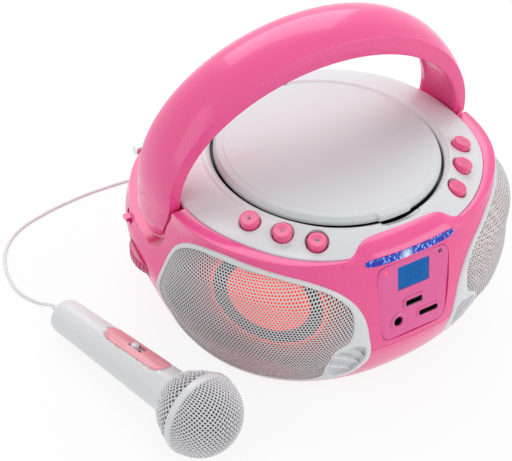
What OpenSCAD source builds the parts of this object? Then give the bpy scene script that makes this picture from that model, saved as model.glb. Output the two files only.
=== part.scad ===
// Portable disc player with two speakers, a folding carry handle and a wired microphone.
// Front faces -Y, the floor is z = 0, and the origin is on the floor under the middle of the feet.

/* [Case] */
// Width of the case at its seam
case_w = 241; // [230:1:250]
// Reach of the case in front of the middle of its plan
case_front = 112; // [106:1:116]
// Reach of the case behind the middle of its plan
case_rear = 131; // [126:1:134]
// Height of the seam between the lower and the upper case
seam_z = 37.5; // [34:0.5:40]
// Height of the shoulder strip round the deck
shoulder_z = 105; // [103:0.5:107]
// Height of the ledge that the folded handle lies over
ledge_z = 63.5; // [61:0.5:65]
// Wall thickness of the mouldings
wall = 2.5; // [2:0.1:3]

/* [Disc lid] */
// Outer radius of the lid at its lower rim
lid_r = 73; // [70:0.5:73.5]
// Height of the lid's upper rim
lid_top_z = 115; // [114:0.5:117]
// Radius of the disc that the player takes
disc_r = 60; // [40:1:60]
// Greatest angle that the lid opens to
lid_open_deg = 25; // [10:1:27]

/* [Handle] */
// Height of the handle's pivots
pivot_z = 86; // [84:0.5:88]
// Distance of the pivots behind the origin
pivot_y = 15; // [13:0.5:17]
// Height of the front edge of the arch above the floor
arch_z = 187; // [180:1:192]
// Diameter of the pivot pins
pivot_d = 10; // [6:0.5:12]

/* [Buttons] */
// Diameter of the push buttons
button_d = 13; // [10:0.5:14]
// Travel of a push button
button_travel = 1.5; // [1:0.1:2]

/* [Speakers] */
// Outer diameter of a speaker's rubber surround
surround_d = 76; // [60:1:78]
// Direction that the speakers face, from the side towards the front
speaker_deg = 38; // [34:1:42]

/* [Microphone] */
// Radius of the round head
mic_head_r = 26; // [24:0.5:28]
// Length from the middle of the head to the end of the handle
mic_len = 132; // [110:1:150]
// Diameter of the microphone cord
cord_d = 2.6; // [2.4:0.1:3]

/* [Hidden] */

// Colours
pink = [0.93, 0.33, 0.55];
deep_pink = [0.85, 0.22, 0.47];
white = [0.93, 0.94, 0.94];
silver = [0.82, 0.83, 0.84];
black = [0.08, 0.08, 0.08];
steel = [0.7, 0.71, 0.72];

// Plan of the case: a rounded oval about plan_y, blunter than an ellipse
plan_y = -4;
plan_n = 2.3;
half_w = case_w / 2;
base_z = 3;
// Height, half width, reach in front and reach behind of the case at each level
levels = [
    [base_z, half_w - 12.5, case_front - 12, case_rear - 13],
    [12, half_w - 9, case_front - 7, case_rear - 7],
    [25, half_w - 4.5, case_front - 2.5, case_rear - 3],
    [seam_z, half_w, case_front, case_rear],
    [50, half_w + 2, case_front - 1.2, case_rear + 1],
    [ledge_z, half_w - 2, case_front - 3.3, case_rear + 1],
    [75, half_w - 5, case_front - 6, case_rear],
    [83, half_w - 6.5, case_front - 8.2, case_rear],
    [89, half_w - 7.5, case_front - 10.2, case_rear],
    [95, half_w - 8, case_front - 13, case_rear],
    [100, half_w - 7.5, case_front - 15, case_rear],
    [shoulder_z, half_w - 6.5, case_front - 16, case_rear]];
function width_at(z) = lookup(z, [for (l = levels) [l[0], l[1]]]);
function front_at(z) = lookup(z, [for (l = levels) [l[0], l[2]]]);
function rear_at(z) = lookup(z, [for (l = levels) [l[0], l[3]]]);

// A point of an oval in plan, at angle t, with half width a and reaches f and b
function oval(t, a, f, b, n = plan_n) =
    let (c = cos(t), s = sin(t), r = pow(pow(abs(c), n) + pow(abs(s), n), -1 / n))
    [a * r * c, plan_y + (s < 0 ? f : b) * r * s];
// A point of the case's skin at angle t and height z, moved out by d
function skin_pt(t, z, d = 0) =
    let (p = oval(t, width_at(z), front_at(z), rear_at(z)))
    [p[0] + d * cos(t), p[1] + d * sin(t), z];
function oval_outline(a, f, b, n = plan_n, k = 96) =
    [for (i = [0:k - 1]) oval(360 * i / k, a, f, b, n)];

// A surface through rings of equal length; the ring list closes on itself, or is capped
module rings_solid(rings, closed = false) {
    m = len(rings);
    k = len(rings[0]);
    pts = [for (r = rings) each r];
    last = closed ? m - 1 : m - 2;
    sides = [for (j = [0:last], i = [0:k - 1])
        let (j2 = (j + 1) % m, i2 = (i + 1) % k)
        each [[j * k + i, j2 * k + i2, j * k + i2], [j * k + i, j2 * k + i, j2 * k + i2]]];
    caps = closed ? [] : [[for (i = [0:k - 1]) i], [for (i = [k - 1:-1:0]) (m - 1) * k + i]];
    polyhedron(points = pts, faces = concat(sides, caps), convexity = 8);
}

// A smooth curve through points, closed, with k steps from each point to the next
function blend4(a, b, c, d, u) =
    0.5 * (2 * b + (c - a) * u + (2 * a - 5 * b + 4 * c - d) * u * u
        + (3 * b - a - 3 * c + d) * u * u * u);
function smooth_loop(p, k) =
    let (n = len(p))
    [for (i = [0:n - 1], s = [0:k - 1])
        blend4(p[(i + n - 1) % n], p[i], p[(i + 1) % n], p[(i + 2) % n], s / k)];

// The case drops a little at the front of its shoulder
function shoulder_drop(y) = let (s = min(1, max(0, (-y - 50) / 45))) 4.4 * s * s * (3 - 2 * s);
// Edge of the deck inside the shoulder strip
deck_a = half_w - 16;
deck_f = case_front - 17.5;
deck_b = 92;
deck_n = 2.2;

// Way that the handle takes: everything behind its notch, above the ledge, outside the inner wall
inner_a = deck_a - 0.5;
inner_b = deck_b - 0.5;
notch = [[-12, shoulder_z + 20], [-12, shoulder_z], [-3.6, 88], [-3.2, 78], [0.2, 71.5], [5, 66.5],
    [11, ledge_z + 0.6], [17, ledge_z], [150, ledge_z], [150, shoulder_z + 20]];
module notch_way(grow = 0) {
    difference() {
        rotate([90, 0, 90])
            translate([0, 0, -140])
                linear_extrude(280)
                    polygon([for (p = notch)
                        [p[0] - (p[0] < 100 ? grow : 0), p[1] - (p[1] < 110 ? grow : 0)]]);
        translate([0, 0, ledge_z - 10])
            linear_extrude(80)
                polygon(oval_outline(inner_a - grow, deck_f, inner_b - grow, deck_n));
    }
}

// Skin of the upper case as one closed section swept round the plan
upper_steps = 76;
upper_zs = [seam_z, 50, ledge_z, 75, 83, 89, 95, 100];
function deck_pt(t, z, d = 0) =
    let (p = oval(t, deck_a - d, deck_f - d, deck_b - d, deck_n))
    [p[0], p[1], z - shoulder_drop(p[1])];
module upper_shell() {
    rings = concat(
        [for (z = upper_zs) [for (i = [0:upper_steps - 1]) skin_pt(360 * i / upper_steps, z)]],
        [[for (i = [0:upper_steps - 1])
            let (p = skin_pt(360 * i / upper_steps, shoulder_z)) [p[0], p[1], p[2] - shoulder_drop(p[1])]]],
        [[for (i = [0:upper_steps - 1]) deck_pt(360 * i / upper_steps, shoulder_z)]],
        [[for (i = [0:upper_steps - 1]) deck_pt(360 * i / upper_steps, shoulder_z - 2)]],
        [[for (i = [0:upper_steps - 1]) deck_pt(360 * i / upper_steps, shoulder_z - 2, 4)]],
        [[for (i = [0:upper_steps - 1]) deck_pt(360 * i / upper_steps, shoulder_z - 4.5, 4)]],
        [for (k = [len(upper_zs) - 2:-1:0])
            [for (i = [0:upper_steps - 1]) skin_pt(360 * i / upper_steps, upper_zs[k], -wall)]]);
    rings_solid(rings, closed = true);
}
module case_block(top) {
    rings_solid([for (l = levels) if (l[0] >= ledge_z - 14 && l[0] <= top)
        [for (i = [0:upper_steps - 1]) skin_pt(360 * i / upper_steps, l[0])]]);
}

// Control panel: a leaning plate between the speakers
panel_lean = 12.7;
panel_y = -104.4;
panel_z = 89.4;
panel_t = 2;
module on_panel() {
    translate([0, panel_y, panel_z]) rotate([-panel_lean, 0, 0]) rotate([90, 0, 0]) children();
}
// Outline of the panel: half width and height below panel_z
panel_side = [[20.5, 6.6], [23.4, 5.8], [25.6, 3.9], [26.7, 1.2], [27, -2], [26.5, -18], [25.3, -36],
    [24.3, -43.5], [22.8, -47.1], [20.4, -49.1], [17.5, -49.8]];
function panel_outline(g = 0) = concat(
    [for (p = panel_side) [p[0] + g, p[1] + (p[1] > 0 ? g : (p[1] < -47 ? -g : 0))]],
    [for (i = [len(panel_side) - 1:-1:0]) let (p = panel_side[i])
        [-p[0] - g, p[1] + (p[1] > 0 ? g : (p[1] < -47 ? -g : 0))]]);
usb_at = [0, -27];
card_at = [11, -38];
jack_at = [-12, -37.5];
lamp_at = [-20.5, 0.5];
sensor_at = [20, 1];
window_size = [24, 17];
window_at = [0, -7.5];

// Hood over the light bar
hood_edge = [[46, -106], [44.2, -93.6], [41.6, -92.5], [38.7, -92.1], [36.2, -91.6], [33.4, -90.2], [30.4, -89],
    [26.6, -88.4], [17, -88.1], [8, -88.1]];
hood_plan = concat([for (p = hood_edge) [-p[0], p[1]]], [for (i = [len(hood_edge) - 1:-1:0]) hood_edge[i]]);
hood_side = [[-80, 97.4], [-80, 107.6], [-88.6, 107.5], [-92.2, 106.8], [-95.2, 105.6], [-98, 103.9],
    [-100.2, 101.8], [-101.4, 99.6], [-101.6, 97.4]];
module hood() {
    intersection() {
        translate([0, 0, 90]) linear_extrude(20) polygon(hood_plan);
        rotate([90, 0, 90]) translate([0, 0, -50]) linear_extrude(100) polygon(hood_side);
    }
}
bar_half = 33;
bar_z = 96.6;
bar_h = 3.8;
module bar_form(grow = 0, front = 0) {
    arc_r = (bar_half * bar_half + 3.2 * 3.2) / (2 * 3.2);
    lens_r = (bar_half * bar_half + bar_h * bar_h / 4) / bar_h;
    intersection() {
        translate([0, 0, bar_z - 12])
            linear_extrude(24)
                intersection() {
                    translate([0, -102 - front + arc_r]) circle(arc_r + 0, $fn = 180);
                    translate([-60, -104]) square([120, 9 - grow]);
                }
        translate([0, 0, bar_z + 1.6])
            rotate([90, 0, 0])
                translate([0, 0, 80])
                    linear_extrude(40)
                        intersection() {
                            translate([0, lens_r - bar_h / 2 - grow]) circle(lens_r, $fn = 180);
                            translate([0, -lens_r + bar_h / 2 + grow]) circle(lens_r, $fn = 180);
                        }
    }
}

// Speaker pods: outlines as angle and height on the case's skin, with as many points each
frame_outer = [[-2.5, 14], [-1, 36], [-1.2, 58], [-4.5, 76], [-10.5, 87], [-19, 94.8], [-28, 100],
    [-36, 99.2], [-46, 96.2], [-56, 91.8], [-64.5, 84], [-70.5, 72], [-74, 56], [-75.3, 36], [-74.3, 23],
    [-69, 9.5], [-57, 6], [-38, 5.5], [-18, 6], [-7, 8]];
frame_inner = [[-6, 15], [-4, 36], [-3.6, 58], [-6.5, 76.5], [-12, 86], [-20, 93.3], [-28.2, 95.3],
    [-35.5, 95.3], [-45, 94], [-54.5, 90.2], [-62, 84], [-67.8, 72.8], [-69.4, 59], [-68.6, 49.5],
    [-64.3, 43], [-61.8, 30], [-58.5, 12], [-38, 9], [-20, 9.5], [-10, 11]];
pod_mid = [-36, 50];
pod_steps = 3;
outer_loop = smooth_loop(frame_outer, pod_steps);
inner_loop = smooth_loop(frame_inner, pod_steps);
// How far a frame, and the middle of its grille, stand out from the skin at height z
function pod_lip(z) = lookup(z, [[5, 0.6], [45, 1], [101, 1.4]]);
function pod_bulge(z) = lookup(z, [[5, 0.8], [15, 1.2], [25, 2.2], [35, 3.4], [45, 4.4], [55, 5.7],
    [65, 7.2], [75, 9], [85, 11.5], [92, 12.3], [97, 10], [101, 5], [105, 3]]);
// Rings of a speaker frame: f runs from its outer to its inner edge, k is its share of the lip
function pod_ring(f, k, drop) =
    [for (i = [0:len(outer_loop) - 1])
        let (q = outer_loop[i] * (1 - f) + inner_loop[i] * f)
        skin_pt(q[0], q[1], pod_lip(q[1]) * k - drop)];
function grille_ring(s, drop) =
    [for (i = [0:len(inner_loop) - 1])
        let (q = inner_loop[i] * (1 - s) + pod_mid * s, lip = pod_lip(q[1]),
            rise = sin(90 * min(1, s / 0.3)))
        skin_pt(q[0], q[1], lip + max(0, pod_bulge(q[1]) - lip) * rise - drop)];
module frame_form() {
    difference() {
        rings_solid([
            pod_ring(0, 0, 1.5),
            pod_ring(0, 0, 0),
            pod_ring(0.12, 0.9, 0),
            pod_ring(0.55, 1.4, 0),
            pod_ring(1, 0.9, 0),
            pod_ring(1, 0, 2.4),
            pod_ring(0.7, 0, 2.4)], closed = true);
        louvre_cut(1, 0.88, -0.7);
    }
    for (s = slats) rings_solid([for (p = s) slat_ring(p)]);
}
module grille_form() {
    rings_solid(concat(
        [for (s = [0.92, 0.5, 0.22, 0]) grille_ring(s, 1.3)],
        [for (s = [0, 0.1, 0.22, 0.45, 0.92]) grille_ring(s, 0.3)]));
}
// Louvre in the lower front corner of a frame: outline, and slats as angle, height, half width and rise
louvre = [[-69.2, 43.8], [-70.6, 44.7], [-72, 44.3], [-73.2, 42.2], [-73.6, 38.9], [-73.5, 33.8],
    [-72.7, 27.6], [-71.1, 21.3], [-68.9, 16.5], [-66.4, 14.8], [-64, 14.4], [-62.9, 17.7], [-62.4, 25],
    [-62.6, 30.6], [-63.4, 36.3], [-64.9, 40.3], [-66.6, 42.7], [-68.2, 43.8]];
louvre_mid = [-68.5, 30];
function louvre_ring(k, d) =
    [for (q = louvre) let (w = q * k + louvre_mid * (1 - k)) skin_pt(w[0], w[1], d)];
module louvre_cut(k, k_low, floor_d) {
    rings_solid([louvre_ring(0.05, floor_d), louvre_ring(k_low, floor_d), louvre_ring(k, 0.4),
        louvre_ring(k, 6), louvre_ring(0.05, 6)]);
}
slats = [
    [[-67, 43.8, 0.9, 1], [-69.6, 41.6, 1, 0.9], [-71.6, 38.2, 0.9, 0.7], [-73.2, 33.4, 0.4, 0.2]],
    [[-63.4, 39.3, 1.2, 1], [-67, 36, 1.2, 0.9], [-69.8, 31.6, 1, 0.7], [-72, 26, 0.4, 0.2]],
    [[-62, 29.6, 1.8, 1], [-65.4, 26.9, 1.5, 0.9], [-67.6, 24.2, 1.2, 0.7], [-69.2, 20.8, 0.4, 0.2]]];
function slat_ring(p) = [skin_pt(p[0], p[1] - p[2], -1), skin_pt(p[0], p[1] - p[2] * 0.3, p[3]),
    skin_pt(p[0], p[1] + p[2] * 0.5, p[3]), skin_pt(p[0], p[1] + p[2], -1)];
module mirror_left() { mirror([1, 0, 0]) children(); }

// Driver: flat baffle, cone and magnet, on an axis that faces the front corner
speaker_z = 58.8;
baffle_r = 95;
module on_speaker() {
    translate([0, plan_y, 0]) rotate([0, 0, -speaker_deg]) translate([baffle_r, 0, speaker_z])
        rotate([0, 90, 0]) children();
}
module window_cut() {
    rings_solid(concat(
        [for (k = [0.05, 1.01]) window_ring(k, -wall - 5)],
        [for (k = [1.01, 0.05]) window_ring(k, 7)]));
    louvre_cut(1.08, 1.08, -wall - 2);
}
function window_ring(k, d) = [for (q = frame_inner) let (w = q * k + pod_mid * (1 - k)) skin_pt(w[0], w[1], d)];

// Bosses, ports and small parts

// A ring or disc turned from half outlines of [radius, height]
module turned(outline) { rotate_extrude($fn = 96) polygon(outline); }
// A rod along its own axis from a to b on Z
module rod(d, a, b) { translate([0, 0, a]) cylinder(d = d, h = b - a, $fn = 48); }
// A plate with rounded corners, centred, from height a to b
module plate(w, h, r, a, b) {
    translate([0, 0, a])
        linear_extrude(b - a)
            for (k = [0]) union() {
                square([w - 2 * r, h], center = true);
                square([w, h - 2 * r], center = true);
                for (x = [-1, 1], y = [-1, 1])
                    translate([x * (w / 2 - r), y * (h / 2 - r)]) circle(r, $fn = 32);
            }
}

// Rear ports on the wall's normal: z points out of the case
mic_jack_x = 36;
mains_x = 0;
port_z = 48;
function rear_wall(x, z) =
    plan_y + rear_at(z) * pow(1 - pow(abs(x) / width_at(z), plan_n), 1 / plan_n);
function rear_turn(x) = atan((rear_wall(x - 1, port_z) - rear_wall(x + 1, port_z)) / 2);
module on_rear(x) {
    translate([x, rear_wall(x, port_z), port_z]) rotate([0, 0, -rear_turn(x)]) rotate([-90, 0, 0]) children();
}

// Volume wheel in a slot in the left wall
wheel_r = 28;
wheel_at = [-97.5, 20];
wheel_z = 42;
wheel_h = 7;
// Slide switch behind it
switch_y = 49;
switch_z = 57;
switch_travel = 8;

// Antenna along a groove in the ledge
antenna_y = 106;
antenna_z = 62.2;
antenna_foot_x = 62;
antenna_tip_x = -82;
groove_half = 4.4;

// Carry handle
arch_base_z = 104;
pin_reach = 8;
arm_in = 106;

module lower_case() color(pink) {
    difference() {
        union() {
            difference() {
                rings_solid([for (l = levels) if (l[0] <= seam_z)
                    [for (i = [0:upper_steps - 1]) skin_pt(360 * i / upper_steps, l[0])]]);
                rings_solid([for (l = levels) if (l[0] <= seam_z)
                    [for (i = [0:upper_steps - 1])
                        skin_pt(360 * i / upper_steps, l[0] == base_z ? base_z + wall
                            : (l[0] == seam_z ? seam_z + 1 : l[0]), -wall)]]);
            }
            for (p = board_posts) translate([p[0], p[1], 0]) rod(7, base_z + 1, board_z);
            // Battery bay, and the volume wheel's axle
            translate([0, battery_y, 0]) plate(battery_w - 2, battery_l - 2, 3, base_z + 1, bay_top);
            translate([wheel_at[0], wheel_at[1], 0]) {
                rod(8, base_z + 1, wheel_z - 0.2);
                rod(3.9, base_z + 1, wheel_z + wheel_h + 2);
            }
        }
        window_cut();
        mirror_left() window_cut();
        translate([0, battery_y, 0]) {
            plate(battery_w + 0.6, battery_l + 0.6, 0.8, 0, base_z + 1.7);
            plate(battery_w - 6, battery_l - 6, 2, 0, bay_top - 2);
        }
    }
}

module upper_case() color(pink) {
    difference() {
        union() {
            upper_shell();
            intersection() {
                case_block(shoulder_z);
                notch_way(wall);
            }
            hood();
        }
        notch_way();
        window_cut();
        mirror_left() window_cut();
        on_panel() translate([0, 0, -9]) linear_extrude(20) polygon(panel_outline());
        bar_form(0.05);
        // Bores for the handle's pivot pins
        translate([0, pivot_y, pivot_z]) rotate([0, 90, 0])
            for (s = [-1, 1]) translate([0, 0, s * 101]) cylinder(d = pivot_d + 0.6, h = 14, center = true, $fn = 64);
        // Slot for the volume wheel, and the switch's slot
        translate([wheel_at[0], wheel_at[1], wheel_z - 0.8]) cylinder(r = wheel_r + 0.8, h = wheel_h + 1.6, $fn = 96);
        translate([-116, switch_y, switch_z])
            cube([20, switch_travel + 7, 3.4], center = true);
        on_rear(mic_jack_x) rod(9.4, -12, 12);
        on_rear(mains_x) plate(22, 12, 2, -12, 12);
        // Groove for the antenna across the ledge
        translate([-150, antenna_y - groove_half, antenna_z - groove_half])
            cube([150 + antenna_foot_x + 8, 2 * groove_half, 20]);
    }
}

lid_y = -8.5;
// Front of the ring round the lid, where it runs out into the hood: 1 at the front, 0 at the sides
function front_share(t) = let (u = max(0, 1 - abs(t - 270) / 42)) u * u * (3 - 2 * u);
function ring_pt(t, r, z) =
    let (w = front_share(t), rr = r - max(0, r - 76) * 0.95 * w)
    [rr * cos(t), lid_y + rr * sin(t), z - 2.2 * w * (z > 108 ? 1 : 0)];
deck_steps = 76;
button_spots = [[79.82, -45.84, 110.44], [67.52, -62.61, 108.71], [52.14, -76.35, 105.23]];
button_tilt = [16, 15, 14];
recess_d = 15.4;
module on_button(i, side) {
    p = button_spots[i];
    translate([side * p[0], p[1], p[2]])
        rotate([0, 0, atan2(p[1] - lid_y, side * p[0])]) rotate([0, button_tilt[i], 0]) children();
}
module top_deck() color(white) {
    ts = [for (i = [0:deck_steps - 1]) 360 * i / deck_steps];
    difference() {
        union() {
            deck_form(ts);
            for (s = [-1, 1], i = [0:2]) on_button(i, s) translate([0, 0, -3.3]) cylinder(d = 18, h = 2, $fn = 48);
        }
        for (s = [-1, 1], i = [0:2]) on_button(i, s) {
            translate([0, 0, -12]) cylinder(d = button_d + 0.8, h = 24, $fn = 48);
            translate([0, 0, -1.5]) cylinder(d = recess_d, h = 14, $fn = 48);
        }
        translate([0, 0, 90]) linear_extrude(30) polygon(hood_plan);
        // Slot for the lid's hinge lugs, and a scoop for a finger in front of the lid
        translate([-hinge_w / 2, 63, 103]) cube([hinge_w, 12, 20]);
        translate([-15, lid_y - 75.4, 110]) rotate([0, 90, 0]) cylinder(r = 2.2, h = 28, $fn = 32);
    }
}
module deck_form(ts) {
        rings_solid([
            [for (t = ts) deck_pt(t, shoulder_z - 2, 0.25)],
            [for (t = ts) deck_pt(t, shoulder_z + 0.3, 0.25)],
            [for (t = ts) deck_pt(t, shoulder_z + 1, 1)],
            [for (t = ts) ring_pt(t, 80.6, 111.5)],
            [for (t = ts) ring_pt(t, 79.2, 112.1)],
            [for (t = ts) ring_pt(t, 75.6, 110.3)],
            [for (t = ts) ring_pt(t, 75, 104)],
            [for (t = ts) ring_pt(t, 77.5, 104)],
            [for (t = ts) ring_pt(t, 77.8, 108.8)],
            [for (t = ts) deck_pt(t, shoulder_z - 1, 3.6)],
            [for (t = ts) deck_pt(t, shoulder_z - 2, 3.6)]], closed = true);
}

// Lid with its rim, finger tab and hinge lugs
hinge_w = 34;
hinge_y = 70.5;
hinge_z = 107.5;
pin_d = 3;
module disc_lid() color(silver) {
    difference() {
        union() {
            translate([0, lid_y, 0])
                turned([[0, lid_top_z + 1.1], [30, lid_top_z + 0.9], [52, lid_top_z + 0.45], [66, lid_top_z],
                    [70.4, lid_top_z - 0.1], [71.6, lid_top_z - 0.8], [lid_r - 0.2, lid_top_z - 3.4],
                    [lid_r, lid_top_z - 4], [lid_r, lid_top_z - 6.4], [lid_r - 2, lid_top_z - 6.4],
                    [lid_r - 2.4, lid_top_z - 3.4], [66, lid_top_z - 2.2], [52, lid_top_z - 1.8],
                    [30, lid_top_z - 1.4], [0, lid_top_z - 1.2]]);
            // Finger tab at the front
            intersection() {
                translate([-3.5, lid_y - lid_r - 0.2, lid_top_z - 3.4]) rotate([0, 90, 0])
                    cylinder(r = 1.7, h = 21, center = true, $fn = 32);
                translate([0, lid_y, lid_top_z - 8]) cylinder(r = lid_r + 1.6, h = 12, $fn = 96);
            }
            // Stem and head that hold the clamp
            translate([0, lid_y, 0]) rod(3.8, 107.6, lid_top_z - 1);
            translate([0, lid_y, 0]) rod(8, 107.2, 108.4);
            // Hinge lugs
            for (s = [-1, 1]) translate([s * 10, 0, 0]) hull() {
                translate([0, 62.6, lid_top_z - 4.6]) cube([5, 0.6, 3], center = true);
                translate([0, hinge_y, hinge_z]) rotate([0, 90, 0]) cylinder(r = 3, h = 5, center = true, $fn = 32);
            }
        }
        translate([0, hinge_y, hinge_z]) rotate([0, 90, 0])
            cylinder(d = pin_d + 0.3, h = 60, center = true, $fn = 48);
    }
}
module lid_pin() color(steel)
    translate([0, hinge_y, hinge_z]) rotate([0, 90, 0]) cylinder(d = pin_d, h = hinge_w + 6, center = true, $fn = 48);
module disc_clamp() color(black)
    translate([0, lid_y, 0])
        turned([[1.98, 108.7], [7.6, 108.7], [8.8, 107.6], [9, 104.8], [13, 104.8], [14, 105.8], [14, 109.8],
            [13, 110.8], [1.98, 110.8]]);

// Disc well and mechanism
well_z = 99.5;
module disc_well() color(black) {
    difference() {
        translate([0, lid_y, 0])
            turned([[11, well_z], [20, well_z], [22, well_z - 0.8], [disc_r + 2, well_z - 0.8],
                [disc_r + 4, well_z], [disc_r + 6, 104], [76.6, 104], [76.6, 102], [disc_r + 8, 102],
                [disc_r + 6, 97.5], [11, 97.5]]);
        translate([0, lid_y - 41, 0]) plate(15, 52, 3, 90, 120);
    }
    // Holders of the sled's rails
    for (s = [-1, 1], y = [-15.5, -63]) translate([s * 13.5, lid_y + y, 93]) difference() {
        cube([6, 3, 9.2], center = true);
        translate([0, 0, -1.8]) rotate([90, 0, 0]) cylinder(d = 3, h = 9, center = true, $fn = 48);
    }
}
module spindle() color(steel)
    translate([0, lid_y, 0])
        turned([[0, 88], [1, 88], [1, 98.4], [6, 98.4], [6, 100.6], [10, 100.8], [10, 102.8], [7.4, 102.8],
            [7.4, 105], [5.4, 106.6], [0, 106.6]]);
module spindle_motor() color(steel)
    translate([0, lid_y, 0])
        turned([[1.05, 84], [13, 84], [13, 97.5], [11.6, 97.5], [11.6, 95.6], [5, 95.6], [5, 96.6],
            [1.05, 96.6]]);
sled_rest = 25;
module pickup_sled() color(black) {
    difference() {
        union() {
            translate([0, lid_y - sled_rest, 0]) plate(34, 14, 2, 87.5, 95.5);
            translate([0, lid_y - sled_rest, 0]) rod(7.5, 95, 98.8);
        }
        for (s = [-1, 1]) translate([s * 13.5, lid_y, 91.2]) rotate([90, 0, 0])
            cylinder(d = 3.1, h = 100, $fn = 48);
    }
}
module sled_rails() color(steel)
    for (s = [-1, 1]) translate([s * 13.5, lid_y - 14, 91.2]) rotate([90, 0, 0])
        cylinder(d = 3, h = 50.5, $fn = 48);

module button_form(i, side) color(pink) on_button(i, side) {
    turned([[0, -6], [button_d / 2 - 0.6, -6], [button_d / 2, -5.4], [button_d / 2, 3.1],
        [button_d / 2 - 0.9, 4.1], [button_d / 2 - 2, 4.3], [0, 4]]);
    rod(5, -12, -5.9);
}

module stop_button() button_form(0, -1);
module mode_button() button_form(1, -1);
module folder_button() button_form(2, -1);
module play_button() button_form(0, 1);
module skip_back_button() button_form(1, 1);
module skip_next_button() button_form(2, 1);

// Control panel and what it carries
module control_panel() color(deep_pink) {
    on_panel() difference() {
        translate([0, 0, -panel_t]) linear_extrude(panel_t) polygon(panel_outline());
        translate(window_at) plate(window_size[0], window_size[1], 1.5, -3, 3);
        translate(usb_at) plate(14, 6, 0.8, -3, 3);
        translate(card_at) plate(16, 4.4, 1, -3, 3);
        translate(jack_at) rod(9, -3, 3);
        translate(lamp_at) rod(4.2, -3, 3);
        translate(sensor_at) rod(4.2, -3, 3);
    }
}
module display_window() color([0.45, 0.6, 0.95])
    on_panel() translate(window_at) plate(window_size[0], window_size[1], 1.5, -2.4, -0.3);
module power_lamp() color([1, 0.4, 0.5])
    on_panel() translate(lamp_at) turned([[0, -6], [2.1, -6], [2.1, -0.4], [1.7, 0.5], [0.9, 1], [0, 1.1]]);
module remote_sensor() color([0.1, 0.12, 0.4])
    on_panel() translate(sensor_at) turned([[0, -6], [2.1, -6], [2.1, -0.4], [1.7, 0.3], [0, 0.6]]);
module usb_socket() color(steel)
    on_panel() translate(usb_at) {
        difference() {
            union() {
                plate(14, 6, 0.8, -14, 0);
                plate(16.4, 8.2, 1.4, 0, 0.7);
            }
            plate(12.6, 4.7, 0.4, -13, 2);
        }
        translate([0, 0.9, 0]) plate(11.4, 1.6, 0.3, -13.5, -1.5);
    }
module card_socket() color(black)
    on_panel() translate(card_at) difference() {
        union() {
            plate(16, 4.4, 1, -16, 0);
            plate(18.4, 6.4, 1.6, 0, 0.6);
        }
        plate(14.4, 2.2, 0.5, -15, 2);
    }
module headphone_jack() color(deep_pink)
    on_panel() translate(jack_at) difference() {
        union() {
            rod(9, -14, 0);
            turned([[3, 0], [6, 0], [5.4, 0.9], [4.2, 1.1], [3, 0.6]]);
        }
        rod(6.35, -13, 3);
    }
module light_bar() color([0.55, 0.6, 1]) bar_form(0, -0.6);

// Speakers
module speaker_frame_left() color(white) mirror_left() frame_form();
module speaker_frame_right() color(white) frame_form();
module speaker_grille_left() color(white) mirror_left() grille_form();
module speaker_grille_right() color(white) grille_form();
module baffle_form() {
    intersection() {
        on_speaker() difference() {
            translate([0, 0, -1.5]) cube([140, 140, 3], center = true);
            rod(surround_d - 6, -6, 2);
        }
        rings_solid([for (z = [base_z + wall, 12, 25, 50, 75, 92])
            [for (i = [0:39]) skin_pt(9 * i, z, -wall)]]);
        translate([30, -130, 0]) cube([120, 130, 92]);
    }
    on_speaker() {
        // Basket and magnet
        difference() {
            turned([[surround_d / 2 - 3, -0.5], [surround_d / 2 - 3, -2.5], [surround_d / 2 - 9, -12],
                [22, -20], [22, -30], [0, -30], [0, -20.5], [18, -20.5], [surround_d / 2 - 12, -11],
                [surround_d / 2 - 6, -0.5]]);
            for (a = [45:90:315]) rotate([0, 0, a]) translate([30, 0, -9]) cube([16, 14, 12], center = true);
        }
    }
}
module speaker_baffle_left() color(black) mirror_left() baffle_form();
module speaker_baffle_right() color(black) baffle_form();
module cone_form() {
    on_speaker()
        turned([[0, -9.5], [9, -10.5], [11, -12.5], [27, -0.6], [29, 0.4], [33, 2.2], [36.5, 0.6],
            [surround_d / 2, 0.4], [surround_d / 2, 0], [36, 0], [33, 1.2], [29.4, -0.6], [12, -13.6],
            [10, -14], [0, -13]]);
}
module speaker_cone_left() color([0.8, 0.1, 0.1]) mirror_left() cone_form();
module speaker_cone_right() color([0.8, 0.1, 0.1]) cone_form();

module volume_wheel() color(deep_pink)
    translate([wheel_at[0], wheel_at[1], wheel_z]) difference() {
        turned([[2, 0], [wheel_r - 0.8, 0], [wheel_r, 0.8], [wheel_r, wheel_h - 0.8],
            [wheel_r - 0.8, wheel_h], [2, wheel_h]]);
        for (i = [0:47]) rotate([0, 0, i * 7.5]) translate([wheel_r + 0.35, 0, -1])
            cylinder(d = 1.7, h = wheel_h + 2, $fn = 16);
    }
module source_switch() color(pink)
    translate([-switch_x, switch_y, switch_z]) {
        translate([4.4, 0, 0]) cube([10, 4, 2.8], center = true);
        translate([-1.2, 0, 0]) cube([3.4, 5.6, 2.8], center = true);
        translate([9.4, 0, 0]) cube([2, 16, 7], center = true);
    }
switch_x = 114.6;

// Handle: a strap swept over the arch, with rounded tongues at both ends
// Each edge of its section: half width, rise, distance from the origin in Y
strap = [
    [arm_in, 70, -8.2],
    [114, 83, -8.8],
    [117, 89.5, 0],
    [118, 93, 13],
    [117, 91, 24],
    [115.4, 86, 31.5],
    [107, 72, 31.5],
    [arm_in, 70, 26]];
// Hollow of its underside: distance in Y of the rear and front edge, and how deep it is at an angle of the arch
hollow = [24, -4.5];
hollow_edge = -5.8;
function hollow_d(t) = 0.4 + 2.4 * min(1, 1.6 * sin(t));
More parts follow.
